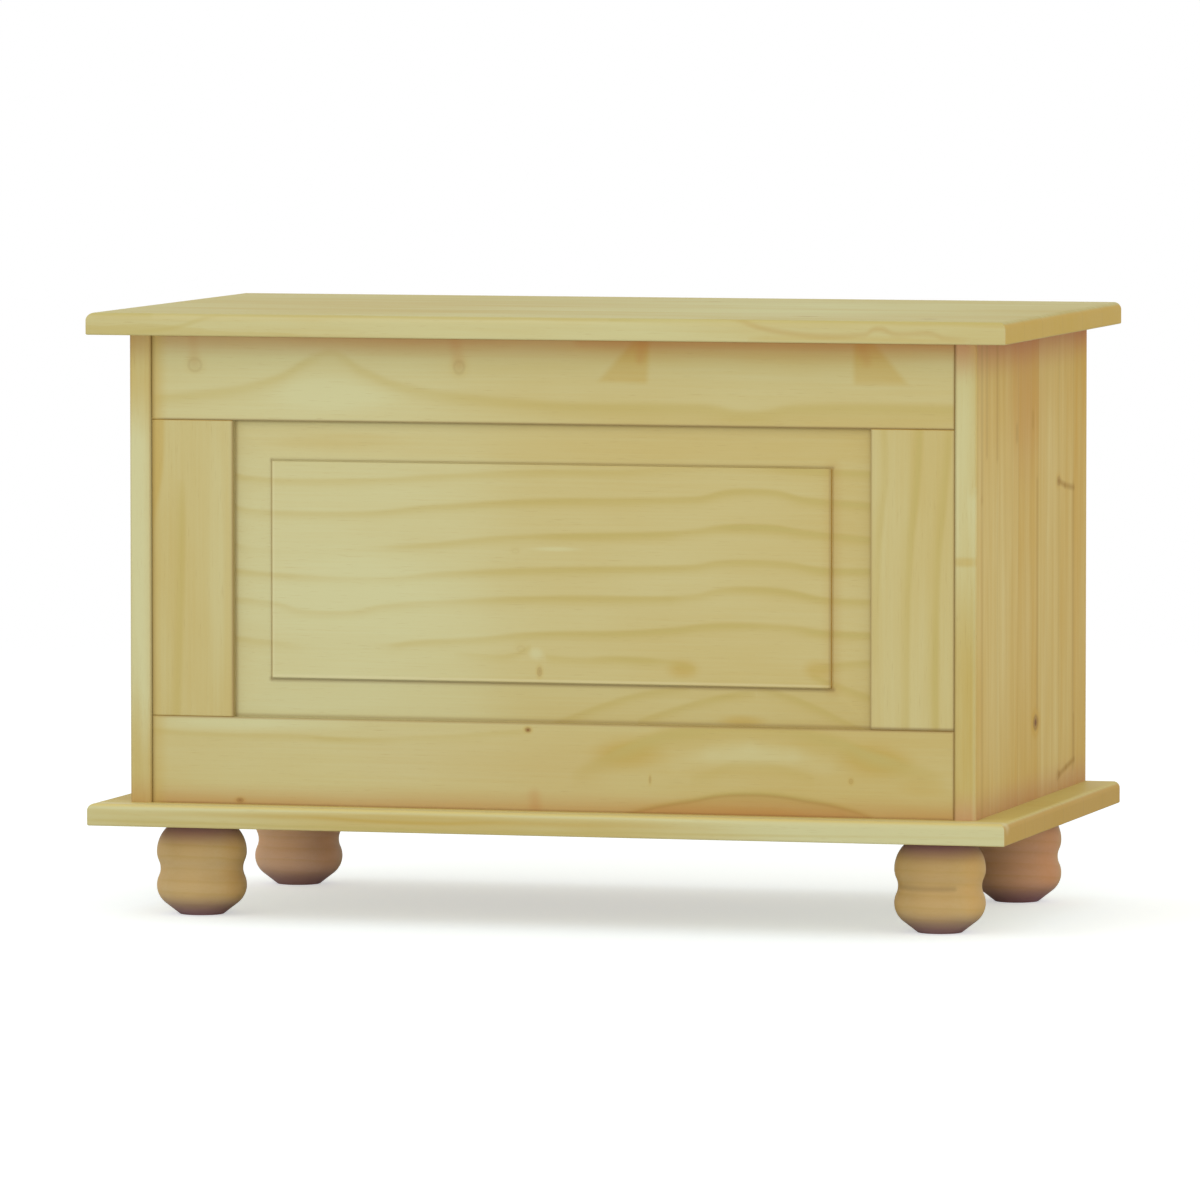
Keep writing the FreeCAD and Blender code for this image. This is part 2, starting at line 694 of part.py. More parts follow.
def make_hinges(rail_screws, lid_screws):
    """Two butt hinges at the back, with the pins fixed in the leaves of the back rail."""
    make_leaf("hinge_rail_leaf", range(0, KNUCKLES, 2), "carcass_top - leaf_thickness", "carcass_top",
              "pin_radius", rail_screws)
    make_leaf("hinge_lid_leaf", range(1, KNUCKLES, 2), "carcass_top", "carcass_top + leaf_thickness",
              "pin_radius + pin_clearance", lid_screws)
    near, far = "pin_head_length", "pin_head_length + hinge_length"
    corners = [("", ""), ("pin_head_radius", ""), ("pin_head_radius", near), ("pin_radius", near),
               ("pin_radius", far), ("pin_head_radius", far), ("pin_head_radius", f"{far} + pin_head_length"),
               ("", f"{far} + pin_head_length")]
    start = ("hinge_start - pin_head_length", "hinge_axis", "carcass_top")
    pair(turned("right_hinge_pin", corners, start, "right"), "hinge_pin")


# Lid

def make_lid(fasteners):
    """The lid board, with shallow seats for the hinge leaves."""
    blank = block("lid_blank", ("-half_width", "front", "carcass_top"), ("half_width", "rear", "lid_top"))
    board = eased("lid_eased", blank, {
        "top front": "lid_edge_radius", "top left": "lid_edge_radius", "top right": "lid_edge_radius",
        "bottom front": "arris_radius", "bottom left": "arris_radius", "bottom right": "arris_radius"})
    seat = block("lid_leaf_seat", ("hinge_start", "leaf_front", "carcass_top"),
                 ("hinge_end", "rear", "carcass_top + leaf_thickness"))
    node(cut("lid_board", board, [both("lid_leaf_seats", [seat])] + fasteners), "lid_board")


def make_battens(screws):
    """Cross battens that keep the lid flat, clear of the front frame and the back rail."""
    blank = block("batten_blank", ("batten_offset - batten_width / 2", "batten_front", "batten_under"),
                  ("batten_offset + batten_width / 2", "batten_rear", "carcass_top"))
    radius = "batten_edge_radius"
    board = eased("batten_eased", blank, {"bottom left": radius, "bottom right": radius,
                                          "bottom front": radius, "bottom rear": radius})
    pair(cut("right_batten", board, [screws]), "batten")


# Lid stays

def slot_outline(sketch, name, start, end, radius, guess):
    """Two half circles and two lines, upright on the sketch's axis.

    The guess is a start, an end and a radius to draw first.
    """
    first = len(sketch.Geometry)
    upper, lower, left, right = range(first, first + 4)
    top, bottom, side = Vector(0, -guess[0], 0), Vector(0, -guess[1], 0), Vector(guess[2], 0, 0)
    normal = Vector(0, 0, 1)
    sketch.addGeometry([
        Part.ArcOfCircle(Part.Circle(top, normal, guess[2]), 0, math.pi),
        Part.ArcOfCircle(Part.Circle(bottom, normal, guess[2]), math.pi, 2 * math.pi),
        Part.LineSegment(top - side, bottom - side),
        Part.LineSegment(bottom + side, top + side),
    ])
    sketch.addConstraint([
        Sketcher.Constraint("Tangent", upper, 2, left, 1),
        Sketcher.Constraint("Tangent", left, 2, lower, 1),
        Sketcher.Constraint("Tangent", lower, 2, right, 1),
        Sketcher.Constraint("Tangent", right, 2, upper, 1),
        Sketcher.Constraint("Equal", upper, lower),
        Sketcher.Constraint("PointOnObject", lower, 3, -2),
    ])
    if start:
        sketch.addConstraint(Sketcher.Constraint("PointOnObject", upper, 3, -2))
        dimension(sketch, f"{name}_start", start, "DistanceY", upper, 3, -1, 1)
    else:
        sketch.addConstraint(Sketcher.Constraint("Coincident", upper, 3, -1, 1))
    dimension(sketch, f"{name}_end", end, "DistanceY", lower, 3, -1, 1)
    dimension(sketch, f"{name}_radius", radius, "Radius", upper)


def make_stay_arms():
    """Flat arms with a pivot hole at the lid and a long slot for the stud."""
    body = doc.addObject("PartDesign::Body", "right_stay_arm")
    sketch = new_sketch(body, "YZ_Plane", "stay_arm_outline")
    reach = size("stay_radius")
    slot_outline(sketch, "arm", "", "stud_open + stay_arm_end - stay_arm_width / 2", "stay_arm_width / 2",
                 (0, 2 * reach, size("stay_arm_width") / 2))
    slot_outline(sketch, "slot", "stud_closed - stay_play", "stud_open", "slot_radius",
                 (reach / 2, 1.5 * reach, size("stay_stud_radius")))
    hole = sketch.addGeometry(Part.Circle(Vector(), Vector(0, 0, 1), size("stay_rivet_radius")))
    sketch.addConstraint(Sketcher.Constraint("Coincident", hole, 3, -1, 1))
    dimension(sketch, "pivot_radius", "stay_rivet_radius + stay_fit", "Radius", hole)
    pad = body.newObject("PartDesign::Pad", "stay_arm_pad")
    pad.Profile = sketch
    pad.setExpression("Length", formula("stay_arm_thickness"))
    place(body, ("arm_inner", "pivot_y", "pivot_z"))
    body.Placement.Rotation = Rotation(Vector(1, 0, 0), 1)
    body.setExpression("Placement.Rotation.Angle", formula("arm_tilt"))
    pair(body, "stay_arm")


def make_stay_studs():
    """Studs on the gables: a wood thread, a collar, a shoulder through the slot and a flat head."""
    collar = "stay_stud_core_length"
    shoulder = f"{collar} + stud_collar"
    head = f"{shoulder} + stud_shoulder"
    end = f"{head} + stay_stud_head"
    corners = [("", ""), ("stay_stud_core", "screw_tip"), ("stay_stud_core", collar),
               ("stay_stud_head_radius", collar), ("stay_stud_head_radius", shoulder),
               ("stay_stud_radius", shoulder), ("stay_stud_radius", head),
               ("stay_stud_head_radius", head), ("stay_stud_head_radius", end), ("", end)]
    start = ("gable_inner + stay_stud_core_length", "stud_y", "stud_z")
    stud = turned("right_stay_stud", corners, start, "left")
    pair(stud, "stay_stud")
    return both("stay_stud_holes", [stud])


def make_stay_brackets(screws):
    """Angle brackets under the lid, each with a rivet that carries an arm."""
    inner = "stay_rivet_head"
    outer = f"{inner} + rivet_length"
    end = f"{outer} + stay_rivet_head"
    corners = [("", ""), ("stay_rivet_head_radius", ""), ("stay_rivet_head_radius", inner),
               ("stay_rivet_radius", inner), ("stay_rivet_radius", outer), ("stay_rivet_head_radius", outer),
               ("stay_rivet_head_radius", end), ("", end)]
    start = ("tab_inner - stay_rivet_head", "pivot_y", "pivot_z")
    rivet = turned("right_stay_rivet", corners, start, "right")
    pair(rivet, "stay_rivet")
    flange = block("bracket_flange", ("bracket_inner", "bracket_front", "bracket_under"),
                   ("tab_outer", "bracket_rear", "carcass_top"))
    tab = block("bracket_tab", ("tab_inner", "pivot_y - bracket_tab_radius", "pivot_z"),
                ("tab_outer", "pivot_y + bracket_tab_radius", "bracket_under"))
    tip = rod("bracket_tip", "bracket_tab_radius", "bracket_thickness",
              ("tab_inner", "pivot_y", "pivot_z"), "right")
    whole = fuse("bracket_whole", [flange, tab, tip])
    pair(cut("right_stay_bracket", whole, [screws, rivet]), "stay_bracket")


def export():
    """Checks every object and writes one file for each piece."""
    doc.recompute()
    for thing in doc.Objects:
        if "Invalid" in thing.State or "Error" in thing.State:
            raise RuntimeError(f"{thing.Label} did not build: {thing.State}")
    os.makedirs("parts", exist_ok=True)
    for thing in nodes:
        shape = thing.Shape
        if shape.isNull() or not shape.isValid() or not shape.Solids:
            raise RuntimeError(f"{thing.Label} has no sound solid")
        shape.exportStep(f"parts/{thing.Label}.step")


fill_sheet()
front_dowels, back_dowels, gable_dowels = make_dowels()
base_screws = make_base_screws()
foot_bolts = make_foot_bolts()
rail_screws = make_hinge_screws("hinge_rail_screws", "down")
lid_screws = make_hinge_screws("hinge_lid_screws", "up")
batten_screws = make_batten_screws()
bracket_screws = make_bracket_screws()
stud_holes = make_stay_studs()
make_base_board([gable_dowels, base_screws, foot_bolts])
make_gables([front_dowels, back_dowels, gable_dowels, base_screws, stud_holes])
make_front_rails([front_dowels, base_screws])
make_stiles()
make_front_panel()
make_back([back_dowels, rail_screws])
make_feet(foot_bolts)
make_hinges(rail_screws, lid_screws)
make_lid([lid_screws, batten_screws, bracket_screws])
make_battens(batten_screws)
make_stay_arms()
make_stay_brackets(bracket_screws)
export()
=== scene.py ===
import math
from collections import namedtuple
from dataclasses import dataclass
from typing import Sequence

import bpy
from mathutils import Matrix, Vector


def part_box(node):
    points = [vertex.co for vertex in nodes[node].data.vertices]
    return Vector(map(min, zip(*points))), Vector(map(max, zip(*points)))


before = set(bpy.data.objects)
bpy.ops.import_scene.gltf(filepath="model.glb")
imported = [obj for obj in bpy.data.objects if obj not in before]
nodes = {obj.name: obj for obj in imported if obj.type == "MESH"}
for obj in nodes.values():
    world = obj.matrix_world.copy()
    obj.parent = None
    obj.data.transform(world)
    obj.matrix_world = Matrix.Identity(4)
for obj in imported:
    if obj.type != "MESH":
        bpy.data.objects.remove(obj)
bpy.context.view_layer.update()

# Shades, as linear red, green and blue.
PALE = (0.59, 0.585, 0.34)
AMBER = (0.505, 0.375, 0.109)
LATE = (0.485, 0.415, 0.15)
END = (0.59, 0.355, 0.062)
KNOT = (0.23, 0.105, 0.035)
RESIN = (0.34, 0.22, 0.07)
WORN = (0.5, 0.36, 0.16)
GLUE = (0.36, 0.24, 0.09)
# Grime in the joints, and painted shade in the creases and grooves between pieces.
GRIME_AND_SHADE = (0.19, 0.115, 0.04)
# Reddish brown for painted shade under the lid and above the base, and for streaks in the wood.
SHADE_AND_STREAK = (0.46, 0.195, 0.06)
STAIN = (0.43, 0.205, 0.075)
# Painted shade under the lid on the right gable.
GABLE_TOP_SHADE = (0.53, 0.165, 0.085)
BROWN = (0.27, 0.14, 0.016)
SHINE = (0.78, 0.74, 0.5)
# Painted shade at the top and bottom of the feet.
FOOT_SHADE = (0.25, 0.122, 0.175)
UMBER = (0.42, 0.24, 0.05)
# Painted shade where the right gable meets the base.
GABLE_FOOT_SHADE = (0.52, 0.235, 0.215)
VENEER = (0.6, 0.505, 0.27)
VENEER_LATE = (0.46, 0.335, 0.135)
BEECH = (0.56, 0.38, 0.22)
BEECH_DARK = (0.46, 0.29, 0.15)
BEECH_FLECK = (0.27, 0.14, 0.06)
BRASS = (0.78, 0.57, 0.22)
BRASS_DULL = (0.45, 0.3, 0.11)
STEEL = (0.66, 0.66, 0.65)
STEEL_DULL = (0.4, 0.4, 0.41)
WHITE = (1.0, 1.0, 1.0, 1.0)
WARM_WHITE = (1.0, 0.93, 0.77, 1.0)
COOL_WHITE = (0.74, 0.84, 1.0, 1.0)
NO_CHANGE = (1.0, 1.0, 1.0)


class Graph:
    """The node tree of a material or a world, with short calls for the nodes that it is made of."""

    def __init__(self, owner):
        owner.use_nodes = True
        self.tree = owner.node_tree
        self.tree.nodes.clear()

    def put(self, socket, value):
        """Links value to the socket if it is another socket, or else sets it."""
        if isinstance(value, bpy.types.NodeSocket):
            self.tree.links.new(value, socket)
        else:
            socket.default_value = value

    def new(self, kind, *values, operation=None):
        """A new node, with its operation if it has one and its first inputs in order."""
        node = self.tree.nodes.new("ShaderNode" + kind)
        if operation:
            node.operation = operation
        for socket, value in zip(node.inputs, values):
            if value is not None:
                self.put(socket, value)
        return node

    def math(self, operation, a, b=None, c=None, clamp=False):
        node = self.new("Math", a, b, c, operation=operation)
        node.use_clamp = clamp
        return node.outputs[0]

    def times(self, a, b):
        return self.math("MULTIPLY", a, b)

    def minus(self, a, b):
        return self.math("SUBTRACT", a, b)

    def plus(self, base, value, amount):
        """base, with value times amount added to it."""
        return self.math("MULTIPLY_ADD", value, amount, base)

    def joined(self, operation, first, second):
        """first and second taken together, or second alone while there is no first."""
        return second if first is None else self.math(operation, first, second)

    def scaled(self, vector, scale, shift=(0, 0, 0)):
        return self.new("VectorMath", vector, scale, shift, operation="MULTIPLY_ADD").outputs[0]

    def vector(self, operation, a, b=None):
        node = self.new("VectorMath", a, b, operation=operation)
        return node.outputs["Value"] if operation in ("LENGTH", "DOT_PRODUCT") else node.outputs[0]

    def split(self, vector):
        return dict(zip("xyz", self.new("SeparateXYZ", vector).outputs))

    def join(self, a, b, c):
        return self.new("CombineXYZ", a, b, c).outputs[0]

    def noise(self, vector, detail=2.0, roughness=0.5):
        node = self.new("TexNoise")
        self.put(node.inputs["Vector"], vector)
        node.inputs["Scale"].default_value = 1.0
        node.inputs["Detail"].default_value = detail
        node.inputs["Roughness"].default_value = roughness
        return node.outputs[0]

    def random(self, value):
        node = self.new("TexWhiteNoise")
        node.noise_dimensions = "1D"
        self.put(node.inputs["W"], value)
        return node.outputs[0]

    def remap(self, value, a, b, c=0.0, d=1.0, smooth=False):
        """c up to the value a, d from the value b on, and a straight or smooth change between."""
        node = self.new("MapRange", value, a, b, c, d)
        node.interpolation_type = "SMOOTHSTEP" if smooth else "LINEAR"
        return node.outputs[0]

    def falling(self, value, full, gone, top=1.0):
        """top up to the value full, 0 from the value gone on, and a smooth change between."""
        return self.remap(value, full, gone, top, 0.0, smooth=True)

    def curve(self, value, points):
        """value sent through a smooth curve of (in, out) points."""
        ins = [point[0] for point in points]
        outs = [point[1] for point in points]
        first, last, low = min(ins), max(ins), min(outs)
        span = max(max(outs) - low, 1e-6)
        node = self.new("FloatCurve")
        line = node.mapping.curves[0]
        places = [((x - first) / (last - first), (y - low) / span) for x, y in sorted(points)]
        line.points[0].location = places[0]
        line.points[1].location = places[-1]
        for x, y in places[1:-1]:
            line.points.new(x, y)
        node.mapping.update()
        self.put(node.inputs["Value"], self.remap(value, first, last))
        return self.remap(node.outputs[0], 0.0, 1.0, low, low + span)

    def steps(self, value, levels):
        """A level for each stretch of value: levels are (start, level), starts and levels from 0 to 1."""
        node = self.new("ValToRGB", value)
        ramp = node.color_ramp
        ramp.interpolation = "CONSTANT"
        for i, (start, level) in enumerate(levels):
            stop = ramp.elements[i] if i < 1 else ramp.elements.new(start)
            stop.position = start
            stop.color = (level, level, level, 1.0)
        ramp.elements.remove(ramp.elements[len(levels)])
        return node.outputs[0]

    def mix(self, share, a, b, blend="MIX"):
        node = self.new("Mix")
        node.data_type = "RGBA"
        node.blend_type = blend
        for socket, value in ((node.inputs[0], share), (node.inputs[6], a), (node.inputs[7], b)):
            self.put(socket, (*value, 1.0) if isinstance(value, tuple) else value)
        return node.outputs[2]

    def bump(self, height, strength, distance):
        node = self.new("Bump")
        node.inputs["Strength"].default_value = strength
        node.inputs["Distance"].default_value = distance
        self.put(node.inputs["Height"], height)
        return node.outputs[0]


class Finish(Graph):
    """One material, coloured by places on the piece."""

    def __init__(self, name):
        self.material = bpy.data.materials.new(name)
        super().__init__(self.material)
        place = self.new("TexCoord").outputs
        self.here = place["Object"]
        self.facing = self.split(place["Normal"])

    def show(self, shader):
        self.new("OutputMaterial", shader.outputs[0])
        return self.material

    def surface(self, **values):
        shader = self.new("BsdfPrincipled")
        for key, value in values.items():
            self.put(shader.inputs[key.replace("_", " ")], value)
        return self.show(shader)


def dress(node, material):
    """Gives a CAD node its only material."""
    mesh = nodes[node].data
    mesh.materials.clear()
    mesh.materials.append(material)


# Marks on a board. A place is (along the grain, over the face), in metres of the shared frame, and a
# point of a line has a strength as its third number.
Knot = namedtuple("Knot", "along over length width strength")
Spot = namedtuple("Spot", "along over length width strength")
Patch = namedtuple("Patch", "corners strength")
Line = namedtuple("Line", "width points")
Stain = namedtuple("Stain", "points strength shade")
Stroke = namedtuple("Stroke", "start stop width strength shade")
Trace = namedtuple("Trace", "width shade points")
Crease = namedtuple("Crease", "ends width strength shade")
# A ramp of painted shade along an axis, from where it starts to where it is full.
ShadeRamp = namedtuple("ShadeRamp", "axis clean dirty strength shade")
# A painted light tint on the faces that look along an axis.
FaceShading = namedtuple("FaceShading", "axis sense start full tint")
Noise = namedtuple("Noise", "along over shift detail roughness")


@dataclass
class Board:
    """How one pine board looks. A share is of the amber shade, on top of the pale one."""
    node: str
    grain: str  # the axis along the grain
    across: str  # the axis over the face
    seed: float
    lines: Sequence = ()  # growth lines, or none for rings that lie spacing apart
    spacing: float = 0.014
    wander: float = 0.5  # how far lines and rings leave their course
    slant: float = 0.25  # how far rings lean through the thickness
    contrast: float = 0.75  # of the growth lines
    fade: Sequence = ()  # (along, contrast)
    amber: float = 0.22  # the share all over
    tints: Sequence = ()  # (along, added share)
    side_tints: Sequence = ()  # (over, added share)
    streaks: float = 0.0  # the share in long thin streaks
    strips: Sequence = ()  # glued strips, each (start over the face, tint from 0 to 1)
    tone: tuple = NO_CHANGE  # what the wood's shades are multiplied by
    end_tone: tuple = NO_CHANGE  # the same, on end grain
    end_cover: float = 0.85  # how much end grain shows
    face_tone: FaceShading = None  # painted light: a tint for the faces that look along an axis
    wear: float = 1.0  # at all edges
    joint: float = 0.0  # grime, with painted shade in the grooves, at all edges
    gloss: float = 0.22
    knots: Sequence = ()
    spots: Sequence = ()  # soft ovals, with an added share as their strength
    patches: Sequence = ()  # outlines with soft edges, their corners in anticlockwise order
    # painted shade that grows along an axis, as under the lid or above the base
    soil: Sequence = ()
    stains: Sequence = ()  # shades under a curved line
    strokes: Sequence = ()  # soft straight lines over the face
    traces: Sequence = ()  # thin curved lines over the face
    edge_lines: Sequence = ()  # thin curved lines along the edges, (along, through the thickness)
    creases: Sequence = ()  # soft straight lines in space, where pieces or faces meet: grime, painted shade and painted highlights


# How pine's noises vary, in times a metre along and over the grain.
BROAD_NOISE = Noise(1.6, 7.0, (3.1, 7.7), 2.0, 0.5)
SMALL_NOISE = Noise(9.0, 42.0, (1.3, 2.9), 3.0, 0.5)
FIBRE_NOISE = Noise(7.0, 420.0, (5.0, 1.0), 4.0, 0.65)
BLOTCH_NOISE = Noise(3.5, 11.0, (8.0, 4.0), 3.0, 0.55)
STREAK_NOISE = Noise(5.0, 75.0, (6.0, 3.0), 3.0, 0.6)
RESIN_NOISE = Noise(55.0, 1500.0, (2.0, 6.0), 1.0, 0.5)

# How dark a growth line is at a distance from its course, and a ring over one year from 0 to 1.
LINE_PROFILE = [(-.012, 0), (-.008, .1), (-.0048, .36), (-.002, .8), (0, 1), (.0014, .76), (.003, .22),
                (.0046, 0), (.006, 0)]
RING_PROFILE = [(0, .35), (.05, .06), (.14, 0), (.45, 0), (.64, .22), (.78, .5), (.9, 1), (.96, .85),
                (1, .35)]

# How much of each noise, of latewood and of a strip's tint goes into the amber share, and its limit.
BLOTCH_SHARE = 0.60
FIBRE_SHARE = 0.25
LATE_SHARE = 0.30
STRIP_SHARE = 0.36
MOST_AMBER = 1.2

# Where the parts of a knot are full and where they end, in its own radii.
KNOT_PUSH = (0.6, 3.2)
KNOT_CORE = (0.30, 1.15)
KNOT_HALO = (0.9, 2.6)
KNOT_RING = 0.9
KNOT_RING_WIDTH = 0.55

# How strong a knot's ring and halo are, and how ragged noise makes knots and spots, in their radii.
KNOT_RING_SHARE = 0.5
KNOT_HALO_SHARE = 0.35
KNOT_RAGGED = 1.2
SPOT_RAGGED = 0.5

# How far noise and knots move growth lines and traces, in metres, and rings, in rings.
LINE_BROAD_SWAY = 0.010
LINE_SMALL_SWAY = 0.004
LINE_BEND = 0.003
TRACE_SWAY = 0.002
EDGE_LINE_SWAY = 0.003
RING_SMALL_SWAY = 0.30
RING_BEND = 0.16

# How much the rings climb over the face along the grain, and how far a full step of tint shifts the grain.
RING_CLIMB = 0.012
STRIP_SHIFT = (9.0, 0.0, 5.0)
STRIP_RINGS = 23.0

# How squarely a face looks along an axis, from where an effect starts to where it is full.
END_ON = (0.55, 0.90)
LEVEL = (0.80, 0.97)
EDGE_ON = (0.25, 0.60)

# How much shows of resin lines, from the noise where they start to where they are full, of glue lines,
# and of painted shade on level faces.
RESIN_SEEN = (0.66, 0.78)
RESIN_SHARE = 0.22
GLUE_SHARE = 0.3
LEVEL_SHADE = 0.1

# Widths in metres.
GLUE_LINE = 0.0010
WORN_EDGE = 0.0022
JOINT_EDGE = 0.0027
STAIN_EDGE = 0.0012
PATCH_EDGE = 0.0035


def course(points):
    """Where a line runs, from points with a strength."""
    return [(along, over) for along, over, strength in points]


def strengths(points):
    """How strong a line is along its course."""
    return [(along, strength) for along, over, strength in points]


def weaker(points, share):
    """The same line with its strength brought down."""
    return [(along, over, strength * share) for along, over, strength in points]


def toned(shade, tone):
    return tuple(a * b for a, b in zip(shade, tone))


class Pine(Finish):
    """The finish of one lacquered pine board, from the bare wood to the marks on it."""

    def __init__(self, board):
        super().__init__("pine_" + board.node)
        self.board = board
        self.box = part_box(board.node)
        self.axes = self.split(self.here)
        through = next(axis for axis in "xyz" if axis not in (board.grain, board.across))
        self.along = self.axes[board.grain]
        self.side = self.axes[board.across]
        self.depth = self.axes[through]
        self.spot = self.join(self.along, self.side, self.depth)
        self.grain_place = self.spot
        if board.strips:
            self.lay_strips()
        self.broad = self.minus(self.grain_noise(BROAD_NOISE), 0.5)
        self.small = self.minus(self.grain_noise(SMALL_NOISE), 0.5)
        self.fibre = self.grain_noise(FIBRE_NOISE)
        self.blotch = self.grain_noise(BLOTCH_NOISE)
        self.patchy = self.plus(0.6, self.blotch, 0.8)
        self.grow_knots()
        self.late = self.drawn_lines() if board.lines else self.rings()
        self.amber = self.amber_share()
        self.colour = self.bare_wood()
        self.shade_faces()
        self.age()
        self.add_soil()
        self.draw_marks()
        self.close_joints()
        dress(board.node, self.lacquered())

    def grain_noise(self, kind):
        """Noise that is drawn out along the grain."""
        scale = (kind.along, kind.over, kind.over)
        place = self.scaled(self.grain_place, scale, (self.board.seed, *kind.shift))
        return self.noise(place, kind.detail, kind.roughness)

    def paint(self, share, shade):
        self.colour = self.mix(share, self.colour, shade)

    def from_middle(self, oval):
        """How far a place lies from the middle of an oval mark: 1 on its outline."""
        scale = (1 / oval.length, 1 / oval.width, 0)
        shift = (-oval.along / oval.length, -oval.over / oval.width, 0)
        return self.vector("LENGTH", self.scaled(self.spot, scale, shift))

    def outside(self, low, high):
        """How far a place lies outside a box along each axis, negative inside."""
        centre = tuple((low + high) / 2)
        half = tuple((high - low) / 2)
        away = self.vector("ABSOLUTE", self.vector("SUBTRACT", self.here, centre))
        return self.vector("SUBTRACT", away, half)

    def edge_share(self, width):
        """1 along the edges of a board that fills its box, 0 further in than width."""
        out = self.split(self.outside(*self.box))
        small = self.math("MINIMUM", out["x"], out["y"])
        large = self.math("MAXIMUM", out["x"], out["y"])
        second = self.math("MAXIMUM", small, self.math("MINIMUM", large, out["z"]))
        return self.remap(second, -width, 0.0, smooth=True)

    def crease_share(self, crease):
        """1 on a crease, which runs along one axis from low to high, 0 further from it than its width."""
        start, stop = (Vector(end) for end in crease.ends)
        away = self.vector("MAXIMUM", self.outside(start, stop), (0, 0, 0))
        return self.falling(self.vector("LENGTH", away), 0.0, crease.width)

    def stroke_share(self, stroke):
        """1 on a stroke, 0 further from it than its width."""
        start = Vector((*stroke.start, 0))
        run = Vector((*stroke.stop, 0)) - start
        step = run / run.length_squared
        part = self.vector("DOT_PRODUCT", self.spot, tuple(step))
        part = self.math("SUBTRACT", part, start.dot(step), clamp=True)
        nearest = self.scaled(part, tuple(run), tuple(start))
        away = self.scaled(self.vector("SUBTRACT", self.spot, nearest), (1, 1, 0))
        return self.falling(self.vector("LENGTH", away), 0.0, stroke.width)

    def trace_share(self, trace, over):
        """The strength of a trace on its course, 0 further from it than its width."""
        off = self.math("ABSOLUTE", self.minus(over, self.curve(self.along, course(trace.points))))
        core = self.falling(off, 0.0, trace.width)
        return self.times(core, self.curve(self.along, strengths(trace.points)))

    def stain_share(self, stain):
        """1 under the line of a stain, 0 above it and beyond its ends."""
        above = self.minus(self.side, self.curve(self.along, course(stain.points)))
        begin = stain.points[0][0]
        end = stain.points[-1][0]
        inside = self.math("COMPARE", self.along, (begin + end) / 2, (end - begin) / 2)
        return self.times(self.falling(above, -STAIN_EDGE, STAIN_EDGE), inside)

    def patch_share(self, patch):
        """1 inside the convex outline of a patch, 0 outside."""
        inside = None
        corners = [Vector(corner) for corner in patch.corners]
        for corner, following in zip(corners, corners[1:] + corners[:1]):
            run = (following - corner).normalized()
            inward = Vector((-run.y, run.x))
            far = self.vector("DOT_PRODUCT", self.spot, (*inward, 0))
            far = self.minus(far, inward.dot(corner))
            inside = self.joined("MULTIPLY", inside, self.remap(far, -PATCH_EDGE, PATCH_EDGE, smooth=True))
        return inside

    def lay_strips(self):
        """Glued strips, each with its own tint and grain, and the thin glue lines between them."""
        axis = "xyz".index(self.board.across)
        low, high = (corner[axis] for corner in self.box)
        place = self.remap(self.side, low, high)
        levels = [(max((start - low) / (high - low), 0.0), tint) for start, tint in self.board.strips]
        self.strip = self.steps(place, levels)
        step = GLUE_LINE / 2 / (high - low)
        before = self.steps(self.minus(place, step), levels)
        after = self.steps(self.math("ADD", place, step), levels)
        change = self.math("ABSOLUTE", self.minus(after, before))
        self.glue = self.math("GREATER_THAN", change, 0.01)
        self.grain_place = self.scaled(self.strip, STRIP_SHIFT, self.spot)

    def grow_knots(self):
        """Dark cores in a ring and a halo, and the push that bends growth lines around them."""
        self.core = self.halo = self.push = None
        for knot in self.board.knots:
            away = self.from_middle(knot)
            self.push = self.joined("ADD", self.push, self.falling(away, *KNOT_PUSH))
            away = self.plus(away, self.small, KNOT_RAGGED)
            core = self.falling(away, *KNOT_CORE, knot.strength ** 2)
            off_ring = self.math("ABSOLUTE", self.minus(away, KNOT_RING))
            ring = self.falling(off_ring, 0.0, KNOT_RING_WIDTH, KNOT_RING_SHARE * knot.strength)
            halo = self.falling(away, *KNOT_HALO, KNOT_HALO_SHARE * knot.strength)
            self.core = self.joined("MAXIMUM", self.core, self.math("MAXIMUM", core, ring))
            self.halo = self.joined("MAXIMUM", self.halo, halo)

    def drawn_lines(self):
        """Latewood along the board's own growth lines."""
        wander = self.board.wander
        sway = self.times(self.broad, LINE_BROAD_SWAY * wander)
        sway = self.plus(sway, self.small, LINE_SMALL_SWAY * wander)
        if self.push is not None:
            sway = self.plus(sway, self.push, LINE_BEND)
        late = None
        for line in self.board.lines:
            off = self.minus(self.side, self.curve(self.along, course(line.points)))
            off = self.math("DIVIDE", self.math("ADD", off, sway), line.width)
            core = self.curve(off, LINE_PROFILE)
            core = self.times(core, self.curve(self.along, strengths(line.points)))
            late = self.joined("MAXIMUM", late, core)
        late = self.times(late, self.remap(self.blotch, 0.30, 0.55, 0.75, 1.0))
        if self.board.fade:
            late = self.times(late, self.curve(self.along, self.board.fade))
        return late

    def rings(self):
        """Latewood of rings that lie a spacing apart, some years darker than others."""
        board = self.board
        tilt = self.plus(self.times(self.along, RING_CLIMB), self.depth, board.slant)
        ring = self.math("DIVIDE", self.math("ADD", self.side, tilt), board.spacing)
        if board.strips:
            ring = self.plus(ring, self.strip, STRIP_RINGS)
        ring = self.plus(ring, self.broad, board.wander)
        ring = self.plus(ring, self.small, RING_SMALL_SWAY * board.wander)
        if self.push is not None:
            ring = self.plus(ring, self.push, RING_BEND)
        late = self.curve(self.math("FRACT", ring), RING_PROFILE)
        year = self.random(self.math("FLOOR", ring))
        late = self.times(late, self.plus(0.60, year, 0.45))
        return self.times(late, self.remap(self.broad, -0.22, 0.12, 0.45, 1.0))

    def varied(self, share, noise, amount):
        """share with noise, which lies around a half, added by an amount."""
        return self.plus(share, self.minus(noise, 0.5), amount)

